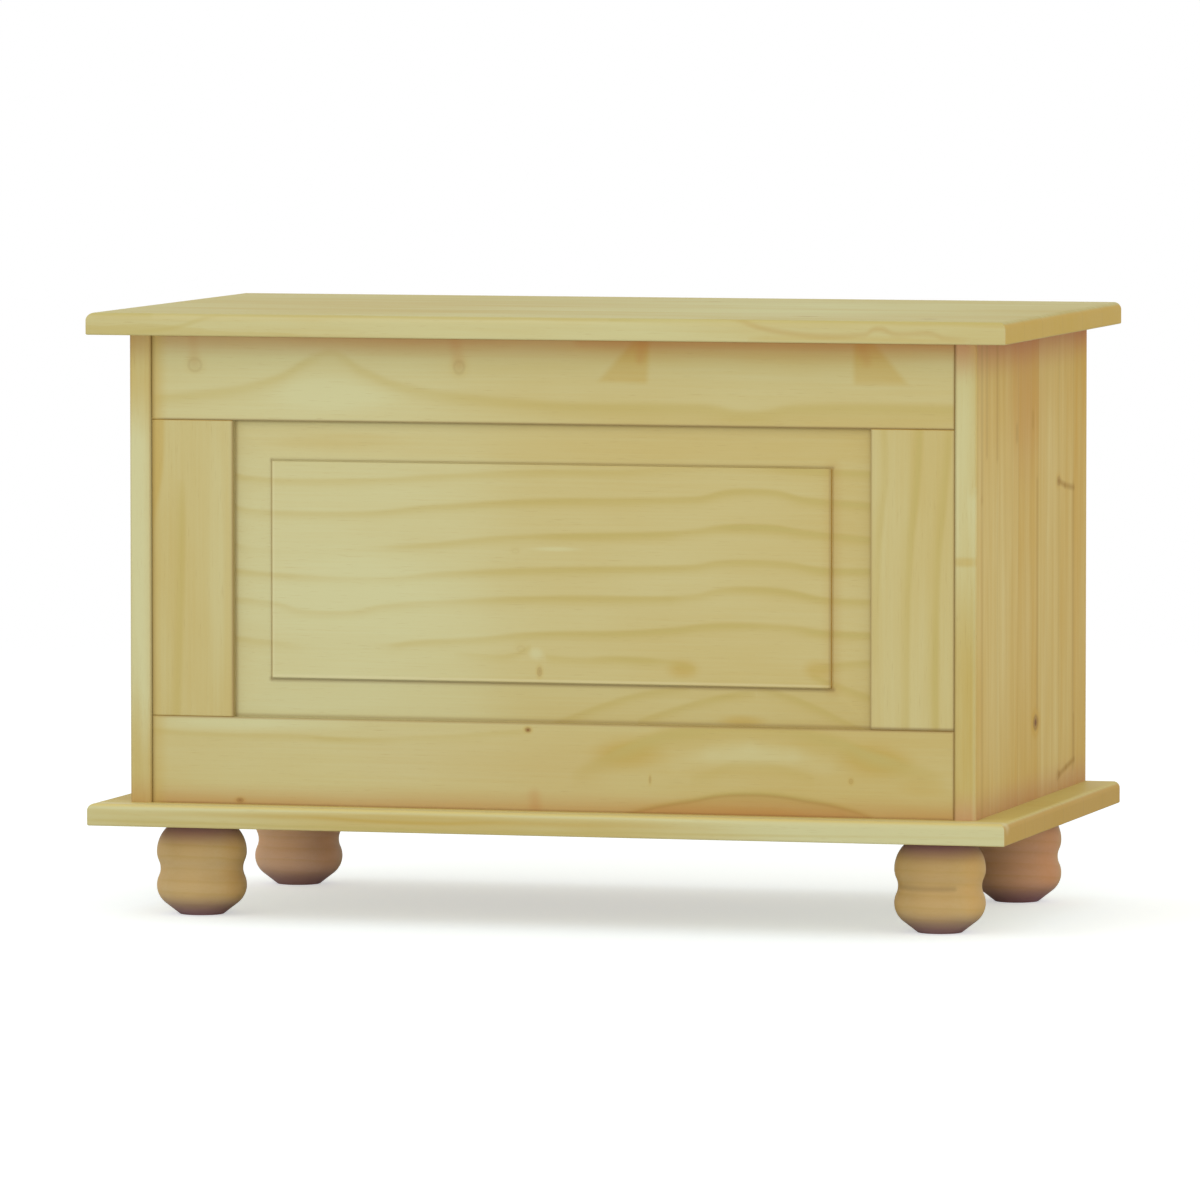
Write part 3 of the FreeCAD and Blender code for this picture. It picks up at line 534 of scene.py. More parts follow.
    def amber_share(self):
        """How far the wood's shade lies from pale to amber."""
        board = self.board
        share = self.varied(board.amber, self.blotch, BLOTCH_SHARE)
        share = self.varied(share, self.fibre, FIBRE_SHARE)
        share = self.plus(share, self.late, LATE_SHARE * board.contrast)
        if board.streaks:
            share = self.varied(share, self.grain_noise(STREAK_NOISE), board.streaks)
        if board.strips:
            share = self.varied(share, self.strip, STRIP_SHARE)
        if board.tints:
            share = self.math("ADD", share, self.curve(self.along, board.tints))
        if board.side_tints:
            share = self.math("ADD", share, self.curve(self.side, board.side_tints))
        if self.halo is not None:
            share = self.math("ADD", share, self.halo)
        for patch in board.patches:
            share = self.plus(share, self.patch_share(patch), patch.strength)
        for spot in board.spots:
            away = self.plus(self.from_middle(spot), self.small, SPOT_RAGGED)
            share = self.math("ADD", share, self.falling(away, 0.2, 1.0, spot.strength))
        return self.math("MINIMUM", self.math("MAXIMUM", share, 0.0), MOST_AMBER)

    def bare_wood(self):
        """The wood's own colour: its shade, the growth lines and the end grain."""
        board = self.board
        pale, deep, line, cut = (toned(shade, board.tone) for shade in (PALE, AMBER, LATE, END))
        colour = self.mix(self.amber, pale, deep)
        weight = 0.6 * board.contrast
        late = self.times(self.late, self.plus(weight, self.amber, weight))
        colour = self.mix(late, colour, line)
        end_on = self.math("ABSOLUTE", self.facing[board.grain])
        end = self.remap(end_on, *END_ON, 0.0, board.end_cover, smooth=True)
        return self.mix(end, colour, toned(cut, board.end_tone))

    def shade_faces(self):
        """Painted light: a tint on the faces that look along an axis, one way for sense 1 or -1, both ways
        for 0.
        """
        tone = self.board.face_tone
        if tone is None:
            return
        there = self.facing[tone.axis]
        there = self.times(there, tone.sense) if tone.sense else self.math("ABSOLUTE", there)
        share = self.remap(there, tone.start, tone.full, smooth=True)
        self.paint(share, self.mix(1.0, self.colour, tone.tint, "MULTIPLY"))

    def age(self):
        """Short resin lines, and edges worn a little darker."""
        self.paint(self.remap(self.grain_noise(RESIN_NOISE), *RESIN_SEEN, 0.0, RESIN_SHARE), RESIN)
        wear = self.board.wear
        worn = self.plus(0.15 * wear, self.blotch, 0.6 * wear)
        self.paint(self.times(self.edge_share(WORN_EDGE), worn), WORN)

    def add_soil(self):
        """Painted shade that grows along an axis from its unshaded place to its shaded one, on upright
        faces.
        """
        upright = self.remap(self.math("ABSOLUTE", self.facing["z"]), *LEVEL, 1.0, LEVEL_SHADE)
        uneven = self.plus(0.65, self.blotch, 0.7)
        for soil in self.board.soil:
            share = self.remap(self.axes[soil.axis], soil.clean, soil.dirty, 0.0, soil.strength, smooth=True)
            self.paint(self.times(self.times(share, upright), uneven), soil.shade)

    def draw_marks(self):
        """Stains, strokes and traces on the face, and lines along the edges."""
        marks = [(stain, self.stain_share(stain)) for stain in self.board.stains]
        marks += [(stroke, self.stroke_share(stroke)) for stroke in self.board.strokes]
        for mark, share in marks:
            self.paint(self.times(self.times(share, self.patchy), mark.strength), mark.shade)
        for trace in self.board.traces:
            share = self.trace_share(trace, self.plus(self.side, self.small, TRACE_SWAY))
            self.paint(self.times(share, self.patchy), trace.shade)
        if self.board.edge_lines:
            edge_on = self.math("ABSOLUTE", self.facing[self.board.across])
            seen = self.times(self.remap(edge_on, *EDGE_ON, smooth=True), self.patchy)
        for trace in self.board.edge_lines:
            share = self.trace_share(trace, self.plus(self.depth, self.small, EDGE_LINE_SWAY))
            self.paint(self.times(share, seen), trace.shade)

    def close_joints(self):
        """Grime and painted shade at the edges, creases (mostly painted shade and highlights), glue lines,
        and the knots over it all.
        """
        if self.board.joint:
            self.paint(self.times(self.edge_share(JOINT_EDGE), self.board.joint), GRIME_AND_SHADE)
        for crease in self.board.creases:
            self.paint(self.times(self.crease_share(crease), crease.strength), crease.shade)
        if self.board.strips:
            self.paint(self.times(self.glue, GLUE_SHARE), GLUE)
        if self.core is not None:
            self.paint(self.core, KNOT)

    def lacquered(self):
        height = self.plus(self.times(self.fibre, 0.6), self.late, 0.5)
        rough = self.plus(0.46, self.late, -0.06)
        rough = self.plus(rough, self.blotch, 0.12)
        return self.surface(Base_Color=self.colour, Roughness=rough, IOR=1.45,
                            Specular_IOR_Level=self.board.gloss, Normal=self.bump(height, 0.12, 0.0004))


def pine(node, grain, across, seed, **looks):
    Pine(Board(node, grain, across, seed, **looks))


def plywood(node):
    """Thin unlacquered plywood: a rotary-cut veneer with wide, wild figure."""
    g = Finish("plywood_" + node)
    wild = g.noise(g.scaled(g.here, (1.4, 3.0, 4.0)), 2.0, 0.45)
    ring = g.math("FRACT", g.times(wild, 9.0))
    late = g.curve(ring, [(0, 0.1), (0.5, 0.1), (0.9, 1.0), (1, 0.2)])
    fibre = g.noise(g.scaled(g.here, (8.0, 300.0, 300.0)), 3.0)
    share = g.math("MULTIPLY_ADD", late, 0.45, g.times(fibre, 0.4), clamp=True)
    rough = g.plus(0.55, fibre, 0.2)
    dress(node, g.surface(Base_Color=g.mix(share, VENEER, VENEER_LATE), Roughness=rough,
                          Normal=g.bump(fibre, 0.2, 0.0003)))


def beech(node):
    """Turned beech dowels, with short brown flecks along them."""
    g = Finish("beech_" + node)
    fleck = g.noise(g.scaled(g.here, (900.0, 300.0, 900.0)), 2.0)
    broad = g.noise(g.scaled(g.here, (40.0, 40.0, 40.0)), 2.0)
    colour = g.mix(g.remap(fleck, 0.58, 0.7), g.mix(broad, BEECH, BEECH_DARK), BEECH_FLECK)
    rough = g.plus(0.5, fleck, 0.2)
    dress(node, g.surface(Base_Color=colour, Roughness=rough, Normal=g.bump(fleck, 0.15, 0.0002)))


def metal(node, bright, dull, brush, roughness):
    """Brushed sheet or wire metal, a little duller where it has been handled."""
    g = Finish("metal_" + node)
    stroke = g.noise(g.scaled(g.here, brush), 3.0, 0.6)
    cloud = g.noise(g.scaled(g.here, (45.0, 45.0, 45.0)), 3.0)
    tarnish = g.remap(cloud, 0.42, 0.70, 0.0, 0.8)
    colour = g.mix(g.math("MULTIPLY_ADD", stroke, 0.35, tarnish, clamp=True), bright, dull)
    rough = g.plus(g.plus(roughness, stroke, 0.14), tarnish, 0.14)
    dress(node, g.surface(Base_Color=colour, Metallic=1.0, Roughness=rough,
                          Normal=g.bump(stroke, 0.10, 0.0001)))


# Outlines of the front's pieces, in x and z from the frame.
Outline = namedtuple("Outline", "left bottom right top")


def front_of(node):
    low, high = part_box(node)
    return Outline(low.x, low.z, high.x, high.z)


def grown(outline, by):
    """The same outline, moved out by a distance on every side."""
    return Outline(outline.left - by, outline.bottom - by, outline.right + by, outline.top + by)


def side_crease(outline, side, depth, out, width, strength, shade=GRIME_AND_SHADE):
    """A crease along one side of an outline that stands at a depth and is moved out by a distance."""
    left, bottom, right, top = grown(outline, out)
    ends = {"left": ((left, bottom), (left, top)), "right": ((right, bottom), (right, top)),
            "bottom": ((left, bottom), (right, bottom)), "top": ((left, top), (right, top))}
    return Crease([(x, depth, z) for x, z in ends[side]], width, strength, shade)


# A stile's tongues are hidden in the rails, so its outline ends where the rails begin.
TOP_RAIL = front_of("front_top_rail")
LOW_RAIL = front_of("front_bottom_rail")
LEFT_STILE = front_of("left_stile")._replace(bottom=LOW_RAIL.top, top=TOP_RAIL.bottom)
RIGHT_STILE = front_of("right_stile")._replace(bottom=LOW_RAIL.top, top=TOP_RAIL.bottom)
LEFT_GABLE = front_of("left_gable")
RIGHT_GABLE = front_of("right_gable")
OPENING = Outline(LEFT_STILE.right, LOW_RAIL.top, RIGHT_STILE.left, TOP_RAIL.bottom)
FIELD_MARGIN = 0.036
FIELD = grown(OPENING, -FIELD_MARGIN)

# Where faces lie in the frame: fronts and a back in y, tops in z and right ends in x.
RAIL_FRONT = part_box("front_top_rail")[0].y
FIELD_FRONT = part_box("front_panel")[0].y
QUIRK_FRONT = FIELD_FRONT + 0.0022
MARGIN_FRONT = FIELD_FRONT + 0.0050
GABLE_FRONT, GABLE_BACK = (corner.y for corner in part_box("right_gable"))
LID_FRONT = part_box("lid_board")[0].y
LID_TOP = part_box("lid_board")[1].z
LID_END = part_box("lid_board")[1].x
BASE_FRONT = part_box("base_board")[0].y
BASE_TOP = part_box("base_board")[1].z
BASE_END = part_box("base_board")[1].x


def end_creases(outline, amber_width, amber, grime_width, grime):
    """Amber, and grime with painted shade, where a front piece's left end meets the gable."""
    return [side_crease(outline, "left", RAIL_FRONT, 0, amber_width, amber, AMBER),
            side_crease(outline, "left", RAIL_FRONT, 0, grime_width, grime)]


def pale_front(strength):
    """Painted light: a gable's front edge, and the rounding beside it, are paler than its faces."""
    return [(GABLE_FRONT, -strength), (GABLE_FRONT + .0022, .04 - strength), (GABLE_FRONT + .0057, 0),
            (GABLE_BACK, .04)]


# Front top rail, with the lid's shadow painted along its top
TOP_ARCH = [
    (TOP_RAIL.left, .472, .5), (-.312, .478, .8), (-.27, .486, .8), (-.214, .512, .4), (-.204, .515, .35),
    (-.195, .512, .4), (-.172, .498, .55), (-.111, .48, .7), (-.036, .4725, .75), (.019, .4695, .9),
    (.144, .469, .95), (.183, .464, .85), (.231, .47, .9), (TOP_RAIL.right, .471, .9)]
pine("front_top_rail", "x", "z", 1.0, lines=[Line(1.7, TOP_ARCH)], wander=0.1, contrast=0.6, streaks=0.12,
     # the lid's shadow, painted along the rail's top
     joint=0.55, soil=[ShadeRamp("z", TOP_RAIL.top - .023, TOP_RAIL.top + .001, .58, SHADE_AND_STREAK)],
     tints=[(TOP_RAIL.left, .06), (-.3, 0), (-.2, -.05), (-.05, .16), (.2, .24), (TOP_RAIL.right, .28)],
     spots=[Spot(-.205, .478, .08, .022, -.22), Spot(.19, .456, .25, .014, .14),
            Spot(.2, .526, .26, .032, .24)],
     knots=[Knot(-.3311, .5026, .0055, .0055, .3), Knot(-.0838, .5028, .005, .0055, .32)],
     strokes=[Stroke((-.332, .508), (-.333, .53), .009, .16, SHADE_AND_STREAK),
              Stroke((-.084, .508), (-.088, .53), .01, .2, SHADE_AND_STREAK),
              Stroke((.084, .512), (.0865, .531), .008, .25, SHADE_AND_STREAK),
              Stroke((.292, .512), (.287, .531), .008, .22, SHADE_AND_STREAK),
              # more of the lid's painted shadow, along the right of the rail's top
              Stroke((.03, TOP_RAIL.top), (.372, TOP_RAIL.top), .012, .32, SHADE_AND_STREAK)],
     creases=end_creases(TOP_RAIL, .018, .72, .0054, .46),
     patches=[Patch([(.0458, .4925), (.0904, .4912), (.093, .532), (.0805, .532)], .34),
              Patch([(.2805, .4925), (.3293, .493), (.2965, .532), (.28, .532)], .34)])

# Front bottom rail, with painted shade along its foot above the base
LOW_ARCH = [(.06, .1, 0), (.083, .108, .7), (.128, .117, .9), (.187, .1247, 1.0), (.242, .1197, .9),
            (.281, .112, .7), (.3, .105, 0)]
LOW_INNER = [(.13, .137, 0), (.148, .142, .35), (.182, .152, .4), (.227, .1455, .35), (.245, .14, 0)]
LOW_OUTER = [(.02, .138, 0), (.043, .149, .6), (.066, .161, .8), (.093, .172, 1.0), (.127, .18, .9),
             (.192, .185, .6), (.256, .1755, .9), (.296, .162, 1.0), (.339, .15, .6), (.365, .142, 0)]
LOW_LEFT = [
    (LOW_RAIL.left, .172, .5), (-.308, .169, .4), (-.233, .169, .4), (-.195, .167, .7), (-.12, .17, .3),
    (-.046, .1755, .5), (-.02, .178, 0)]
LOW_PALE = [(.118, .148), (.15, .16), (.185, .1655), (.225, .16), (.255, .15)]
LOW_PALE_WIDTHS = (.012, .013, .013, .012)
pine("front_bottom_rail", "x", "z", 2.0,
     lines=[Line(1.3, LOW_ARCH), Line(1.5, LOW_INNER), Line(2.2, LOW_OUTER), Line(0.8, LOW_LEFT)],
     wander=0.16, contrast=0.7, streaks=0.15, joint=0.38, amber=0.36,
     # painted shade above the base
     soil=[ShadeRamp("z", LOW_RAIL.bottom + .022, LOW_RAIL.bottom - .002, .45, SHADE_AND_STREAK)],
     tints=[(LOW_RAIL.left, 0), (-.2, -.02), (-.05, .14), (.1, .24), (LOW_RAIL.right, .32)],
     spots=[Spot(.185, .16, .072, .016, -.3), Spot(.184, .102, .1, .02, .25),
            Spot(.075, .16, .045, .02, .32), Spot(.3, .158, .045, .02, .32),
            Spot(-.28, .18, .13, .012, -.32), Spot(.345, .135, .03, .012, .12)],
     creases=end_creases(LOW_RAIL, .018, .55, .0048, .38),
     stains=[Stain(LOW_ARCH, .24, STAIN)], traces=[Trace(.003, BROWN, weaker(LOW_ARCH, .24))],
     strokes=[Stroke((-.014, .12), (-.0125, .106), .01, .3, SHADE_AND_STREAK),
              # painted shade along the rail's bottom
              Stroke((.105, LOW_RAIL.bottom), (.27, LOW_RAIL.bottom), .009, .16, SHADE_AND_STREAK),
              *(Stroke(*line, .13, PALE) for line in zip(LOW_PALE, LOW_PALE[1:], LOW_PALE_WIDTHS)),
              Stroke((-.15, .145), (.03, .14), .05, .06, SHADE_AND_STREAK)],
     knots=[Knot(-.0198, .1786, .0024, .0019, .95), Knot(-.2896, .1098, .0032, .002, .8),
            Knot(.0933, .1366, .001, .003, .5), Knot(.2782, .1387, .0016, .002, .42)])

# Front panel
PANEL_LINES = [
    [(-.296, .405, .5), (-.245, .399, .6), (-.179, .4, .7), (-.1, .405, .6), (.004, .4105, .65),
     (.056, .411, .5), (.16, .417, .25), (.262, .414, .8), (.296, .413, .6)],
    [(-.296, .377, .5), (-.225, .3695, .7), (-.1, .378, .9), (.004, .3845, 1.0), (.056, .3855, .8),
     (.133, .388, .8), (.185, .396, .9), (.236, .389, .9), (.296, .3845, .8)],
    [(-.296, .343, .4), (-.231, .335, .15), (-.179, .3385, .2), (-.126, .342, .75), (-.022, .352, .75),
     (.03, .354, 1.2), (.108, .3565, 1.05), (.133, .359, .7), (.185, .364, 1.3), (.236, .3595, .85),
     (.296, .354, .8)],
    [(-.296, .317, .5), (-.258, .314, .8), (-.179, .3115, .6), (-.1, .3175, .8), (.004, .323, 1.0),
     (.108, .326, 1.0), (.133, .3275, .85), (.18, .3325, .8), (.215, .3315, .75), (.262, .326, 1.1),
     (.296, .326, .8)],
    [(-.296, .291, .5), (-.258, .288, .65), (-.208, .2805, .7), (-.153, .2875, .8), (-.1, .292, .7),
     (.004, .2975, 1.05), (.108, .299, 1.0), (.133, .301, .55), (.185, .3085, .85), (.262, .2995, 1.0),
     (.296, .2985, .6)],
    [(-.296, .2555, .45), (-.258, .2525, .45), (-.205, .249, .05), (-.153, .2515, .4), (-.126, .255, .95),
     (-.074, .2585, .8), (.004, .2655, 1.1), (.056, .2665, 1.1), (.108, .27, .9), (.175, .276, .9),
     (.211, .275, .65), (.262, .27, 1.2), (.296, .269, .85)],
    [(-.09, .246, 0), (-.074, .245, .3), (-.048, .2435, .4), (-.035, .246, .45), (-.024, .253, .45),
     (-.017, .255, 0)],
    [(-.004, .245, 0), (.004, .2435, .5), (.03, .2425, .5), (.056, .244, .85), (.082, .2435, .95),
     (.108, .242, .5), (.125, .239, .5), (.135, .236, 0)],
    [(.235, .237, 0), (.248, .2395, .4), (.262, .2415, .7), (.296, .244, .7)],
    [(0, .183, 0), (.024, .192, .6), (.052, .2025, .65), (.08, .211, .65), (.108, .216, .5),
     (.13, .2185, 0)],
    [(.19, .219, 0), (.209, .2155, .5), (.246, .2025, .6), (.264, .194, .5), (.296, .18, .3)],
    [(.08, .187, 0), (.098, .1935, .6), (.154, .21, .65), (.177, .2145, .5), (.19, .216, 0)],
    [(.24, .233, 0), (.259, .225, .6), (.296, .2125, .6)]]
# The panel meets the frame at its margin's edge, and the raised field has a fine quirk around it.
# The creases paint the shade at these edges, and a highlight on the field's lower and left edges.
MARGIN_CREASES = [
    side_crease(OPENING, "top", MARGIN_FRONT, .0005, .0033, .66),
    side_crease(OPENING, "bottom", MARGIN_FRONT, -.0012, .0034, .34),
    side_crease(OPENING, "left", MARGIN_FRONT, 0, .004, .42),
    side_crease(OPENING, "right", MARGIN_FRONT, -.0005, .0036, .24)]
FIELD_CREASES = [
    side_crease(FIELD, "bottom", FIELD_FRONT, -.002, .002, .24, SHINE),
    side_crease(FIELD, "left", FIELD_FRONT, -.0015, .002, .12, SHINE),
    side_crease(FIELD, "bottom", QUIRK_FRONT, .001, .004, .5),
    side_crease(FIELD, "left", QUIRK_FRONT, .0008, .0028, .24),
    side_crease(FIELD, "right", QUIRK_FRONT, .0005, .012, .22, UMBER),
    side_crease(FIELD, "right", FIELD_FRONT, -.0005, .003, .36),
    side_crease(FIELD, "top", QUIRK_FRONT, .0007, .0034, .26)]
pine("front_panel", "x", "z", 3.0, lines=[Line(1.0, points) for points in PANEL_LINES], wander=0.12,
     contrast=0.85, amber=0.1, creases=MARGIN_CREASES + FIELD_CREASES,
     fade=[(OPENING.left, .95), (-.25, .7), (-.2, .6), (-.1, .66), (0, .8), (.1, .95), (.2, 1.05),
           (OPENING.right, 1.05)],
     tints=[(OPENING.left, .17), (-.2, -.02), (-.1, .06), (0, .34), (.15, .43), (OPENING.right, .48)],
     side_tints=[(OPENING.bottom, .05), (.21, .03), (.222, 0), (.415, 0), (.425, .1), (OPENING.top, .14)],
     knots=[Knot(-.0095, .2313, .002, .0036, .55), Knot(-.0267, .2512, .004, .003, .15),
            Knot(-.0318, .3391, .003, .002, .12)],
     spots=[Spot(.123, .2365, .021, .012, .32), Spot(.247, .238, .018, .013, .27),
            Spot(-.0128, .247, .01, .008, -.3), Spot(.005, .3415, .03, .003, -.25),
            Spot(-.2, .435, .09, .012, .16), Spot(.1768, .19, .03, .008, .3)])

# Front left stile, with painted shade on its edge by the panel
LEFT_LINE = [(.185, -.348, .8), (.245, -.3465, .7), (.353, -.3435, .8), (.385, -.3435, .5), (.4, -.344, 0)]
pine("left_stile", "z", "x", 4.0, lines=[Line(1.2, LEFT_LINE)], wander=0.25, contrast=0.6, amber=0.52,
     streaks=0.2, joint=0.45, spots=[Spot(.33, -.312, .16, .012, -.15)],
     patches=[Patch([(.4545, -.3735), (.4545, -.36), (.4073, -.361), (.3756, -.3664), (.345, -.3735)], .34)],
     creases=[side_crease(LEFT_STILE, "right", RAIL_FRONT + .0032, 0, .0055, .32),
              *end_creases(LEFT_STILE, .012, .6, .0054, .42)])

# Front right stile
RIGHT_LINES = [
    [(.23, .299, 0), (.263, .3005, .3), (.34, .3025, .5), (.378, .3055, .7), (.418, .309, .6),
     (.453, .308, .6)],
    [(.185, .329, .7), (.263, .329, .6), (.341, .332, .8), (.402, .338, 1.0), (.453, .341, .7)],
    [(.185, .356, 1.0), (.244, .3555, 1.1), (.322, .357, .7), (.383, .362, .8), (.453, .368, .4)]]
pine("right_stile", "z", "x", 5.0, lines=[Line(1.1, points) for points in RIGHT_LINES], wander=0.2,
     amber=0.53, streaks=0.2, joint=0.4,
     creases=[side_crease(RIGHT_STILE, "bottom", RAIL_FRONT, -.0012, .0026, .62)])

# Right gable, with an amber outer edge above and a pale painted highlight on it below,
# painted shade under the lid and above the base, and a painted light tint on its outer face
EDGE_CHANGE = 0.4
GABLE_END_TONE = (1.0, 1.12, 1.9)
UPPER_EDGE = RIGHT_GABLE._replace(bottom=EDGE_CHANGE)
LOWER_EDGE = RIGHT_GABLE._replace(top=EDGE_CHANGE)
GABLE_LINES = [
    ((.53, -.1947), (.39, -.1933), .008, .34), ((.39, -.1933), (.106, -.1905), .008, .22),
    ((.53, -.1749), (.43, -.174), .008, .3), ((.53, -.1336), (.425, -.1325), .008, .28),
    ((.395, .03), (.19, .0315), .007, .3), ((.382, .18), (.125, .1825), .0085, .3),
    ((.447, -.0538), (.438, -.0538), .0085, .34), ((.456, .0114), (.447, .0114), .0085, .28),
    ((.3904, .1181), (.3852, .1455), .0048, .62), ((.3852, .1455), (.3809, .1836), .0048, .6),
    ((.1203, .1215), (.1252, .153), .0048, .6), ((.1252, .153), (.13, .1869), .0048, .6),
    ((.13, .185), (.17, .184), .0065, .4)]
pine("right_gable", "z", "y", 6.0, amber=0.6, contrast=0.3, wander=1.4, spacing=0.024, streaks=0.75,
     strips=[(GABLE_FRONT, .5), (-.1311, .42), (-.048, .8), (.034, .12), (.1195, .45), (.1786, .95)],
     face_tone=FaceShading("x", 1, .45, .95, (1.29, 1.13, 0.95)), end_tone=GABLE_END_TONE,
     side_tints=pale_front(.38), wear=0.3, gloss=0.04,
     soil=[ShadeRamp("z", RIGHT_GABLE.top - .04, RIGHT_GABLE.top + .004, .72, GABLE_TOP_SHADE),
           ShadeRamp("z", RIGHT_GABLE.bottom + .032, RIGHT_GABLE.bottom - .004, .42, GABLE_FOOT_SHADE)],
     spots=[Spot(.18, GABLE_FRONT, .2, .006, .46), Spot(.336, GABLE_FRONT, .006, .006, .35),
            Spot(.5, .02, .09, .3, .22), Spot(.28, -.14, .19, .085, -.26)],
     # painted shade under the lid, then streaks in the wood
     strokes=[Stroke((.53, -.03), (.46, -.015), .095, .2, GABLE_TOP_SHADE),
              *(Stroke(*line, UMBER) for line in GABLE_LINES)],
     creases=[side_crease(RIGHT_GABLE, "left", GABLE_FRONT + .0007, 0, .0032, .4),
              side_crease(UPPER_EDGE, "right", GABLE_FRONT, 0, .012, .35, AMBER),
              side_crease(LOWER_EDGE, "right", GABLE_FRONT, 0, .005, .35, PALE)],
     knots=[Knot(.1758, .025, .007, .0098, 1.0), Knot(.3905, .1181, .0042, .0065, .58),
            Knot(.1203, .1215, .004, .0065, .42)])

# Left gable, with painted shade under the lid and above the base
pine("left_gable", "z", "y", 7.0, amber=0.42, contrast=0.35, wander=1.4, spacing=0.022, streaks=0.55,
     strips=[(GABLE_FRONT, .4), (-.1256, .75), (-.057, .25), (.0249, .62), (.1207, .35), (.1778, .8)],
     end_tone=GABLE_END_TONE, side_tints=pale_front(.4),
     soil=[ShadeRamp("z", LEFT_GABLE.top - .032, LEFT_GABLE.top + .002, .45, SHADE_AND_STREAK),
           ShadeRamp("z", LEFT_GABLE.bottom + .032, LEFT_GABLE.bottom - .004, .42, SHADE_AND_STREAK)],
     knots=[Knot(.402, .071, .007, .006, .8), Knot(.214, -.093, .005, .0045, .7)],
     spots=[Spot(.505, GABLE_FRONT, .085, .008, .68), Spot(.12, GABLE_FRONT, .105, .008, .68)],
     creases=[side_crease(LEFT_GABLE, "right", GABLE_FRONT, 0, .009, .25, AMBER),
              side_crease(LEFT_GABLE, "right", GABLE_FRONT + .0012, 0, .003, .24)])

# Lid board, with growth lines on its front edge, a painted highlight along it, and a painted tint on its top
# and bottom
WIDE_BOARD = dict(wander=1.0, spacing=0.018, gloss=0.1, wear=0.25)
LID_LINES = [
    Trace(.003, LATE, [
        (-LID_END, .5495, .2), (-.34, .5498, .6), (.014, .5488, .7), (.1, .5485, .3), (.18, .548, 0)]),
    Trace(.0044, UMBER, [
        (.16, .555, 0), (.179, .55, .15), (.228, .538, .3), (.261, .536, .28), (.297, .538, .24),
        (.31, .543, .3), (.326, .539, .25), (.353, .54, .26), (.37, .536, .2), (.395, .534, 0)]),
    Trace(.005, AMBER, [
        (.19, .531, 0), (.228, .5335, .3), (.33, .534, .28), (.378, .532, .2), (.39, .531, 0)]),
    Trace(.0036, LATE, [
        (-LID_END, .531, .2), (-.385, .532, .3), (-.349, .536, .4), (-.3, .549, .2), (-.285, .551, 0)])]
# A painted highlight along the lid's rounded front edge.
LID_ROUND = (LID_FRONT + .0032, LID_TOP - .0022)
pine("lid_board", "x", "y", 8.0, amber=0.3, contrast=0.5, streaks=0.5, **WIDE_BOARD,
     strips=[(LID_FRONT, .45), (-.168, .62), (-.094, .3), (-.012, .7), (.071, .38), (.152, .55)],
     tints=[(-LID_END, .05), (-.2, .02), (.05, 0), (.25, .08), (LID_END, .14)], tone=(0.98, 0.99, 0.99),
     end_tone=(1.09, 1.19, 1.13), face_tone=FaceShading("z", 0, .45, .95, (1.06, 1.06, 0.94)),
     spots=[Spot(-.2, 0, .26, .23, .24), Spot(.22, 0, .24, .23, -.26)], edge_lines=LID_LINES,
     creases=[Crease([(-.36, *LID_ROUND), (.06, *LID_ROUND)], .006, .1, SHINE)],
     knots=[Knot(.224, -.156, .0085, .0042, .62), Knot(.342, -.186, .0065, .004, .75),
            Knot(.06, .15, .005, .0045, .45)])

# Base board, paler on its rounded edge, with a painted highlight along the strip in front of the chest
# and a painted tint on its top and bottom
BASE_LINES = [
    Trace(.0034, AMBER, [
        (-BASE_END, .098, 0), (-.24, .0985, .5), (-.122, .0955, .8), (-.02, .097, .5), (.18, .095, 0)]),
    Trace(.0022, LATE, [
        (-BASE_END, .091, .2), (-.3, .0905, .5), (-.1, .089, .6), (.1, .0905, .4), (BASE_END, .0935, .15)])]
BASE_ROUND = [(0, 0), (.0004, -.2), (.0013, -.55), (.0032, -.7), (.0287, -.7), (.0397, 0)]
BASE_SHINE = [(x, BASE_FRONT + .0122, BASE_TOP) for x in (.005 - BASE_END, BASE_END - .005)]
pine("base_board", "x", "y", 9.0, amber=0.18, contrast=0.45, streaks=0.3, **WIDE_BOARD,
     strips=[(BASE_FRONT, .5), (-.16, .35), (-.081, .7), (-.004, .4), (.079, .6), (.16, .45)],
     tints=[(-BASE_END, .04), (-.39, .12), (-.28, .26), (-.12, .5), (.04, .46), (.13, .14), (.2, -.1),
            (.3, -.25), (BASE_END, -.25)],
     side_tints=[(BASE_FRONT + inset, tint) for inset, tint in BASE_ROUND],
     end_tone=(1.0, 0.97, 0.77), face_tone=FaceShading("z", 0, .45, .95, (1.14, 0.98, 0.63)),
     edge_lines=BASE_LINES, creases=[Crease(BASE_SHINE, .0145, .6, SHINE)])

# Back rail and the lid's battens
INNER_BOARD = dict(amber=0.4, contrast=0.5, streaks=0.3)
pine("back_rail", "x", "z", 10.0, spacing=0.02, wander=0.9, **INNER_BOARD,
     knots=[Knot(.112, .488, .006, .005, .7)])
for seed, name in enumerate(("left_batten", "right_batten"), 11):
    pine(name, "y", "x", seed, spacing=0.012, wander=0.7, **INNER_BOARD)

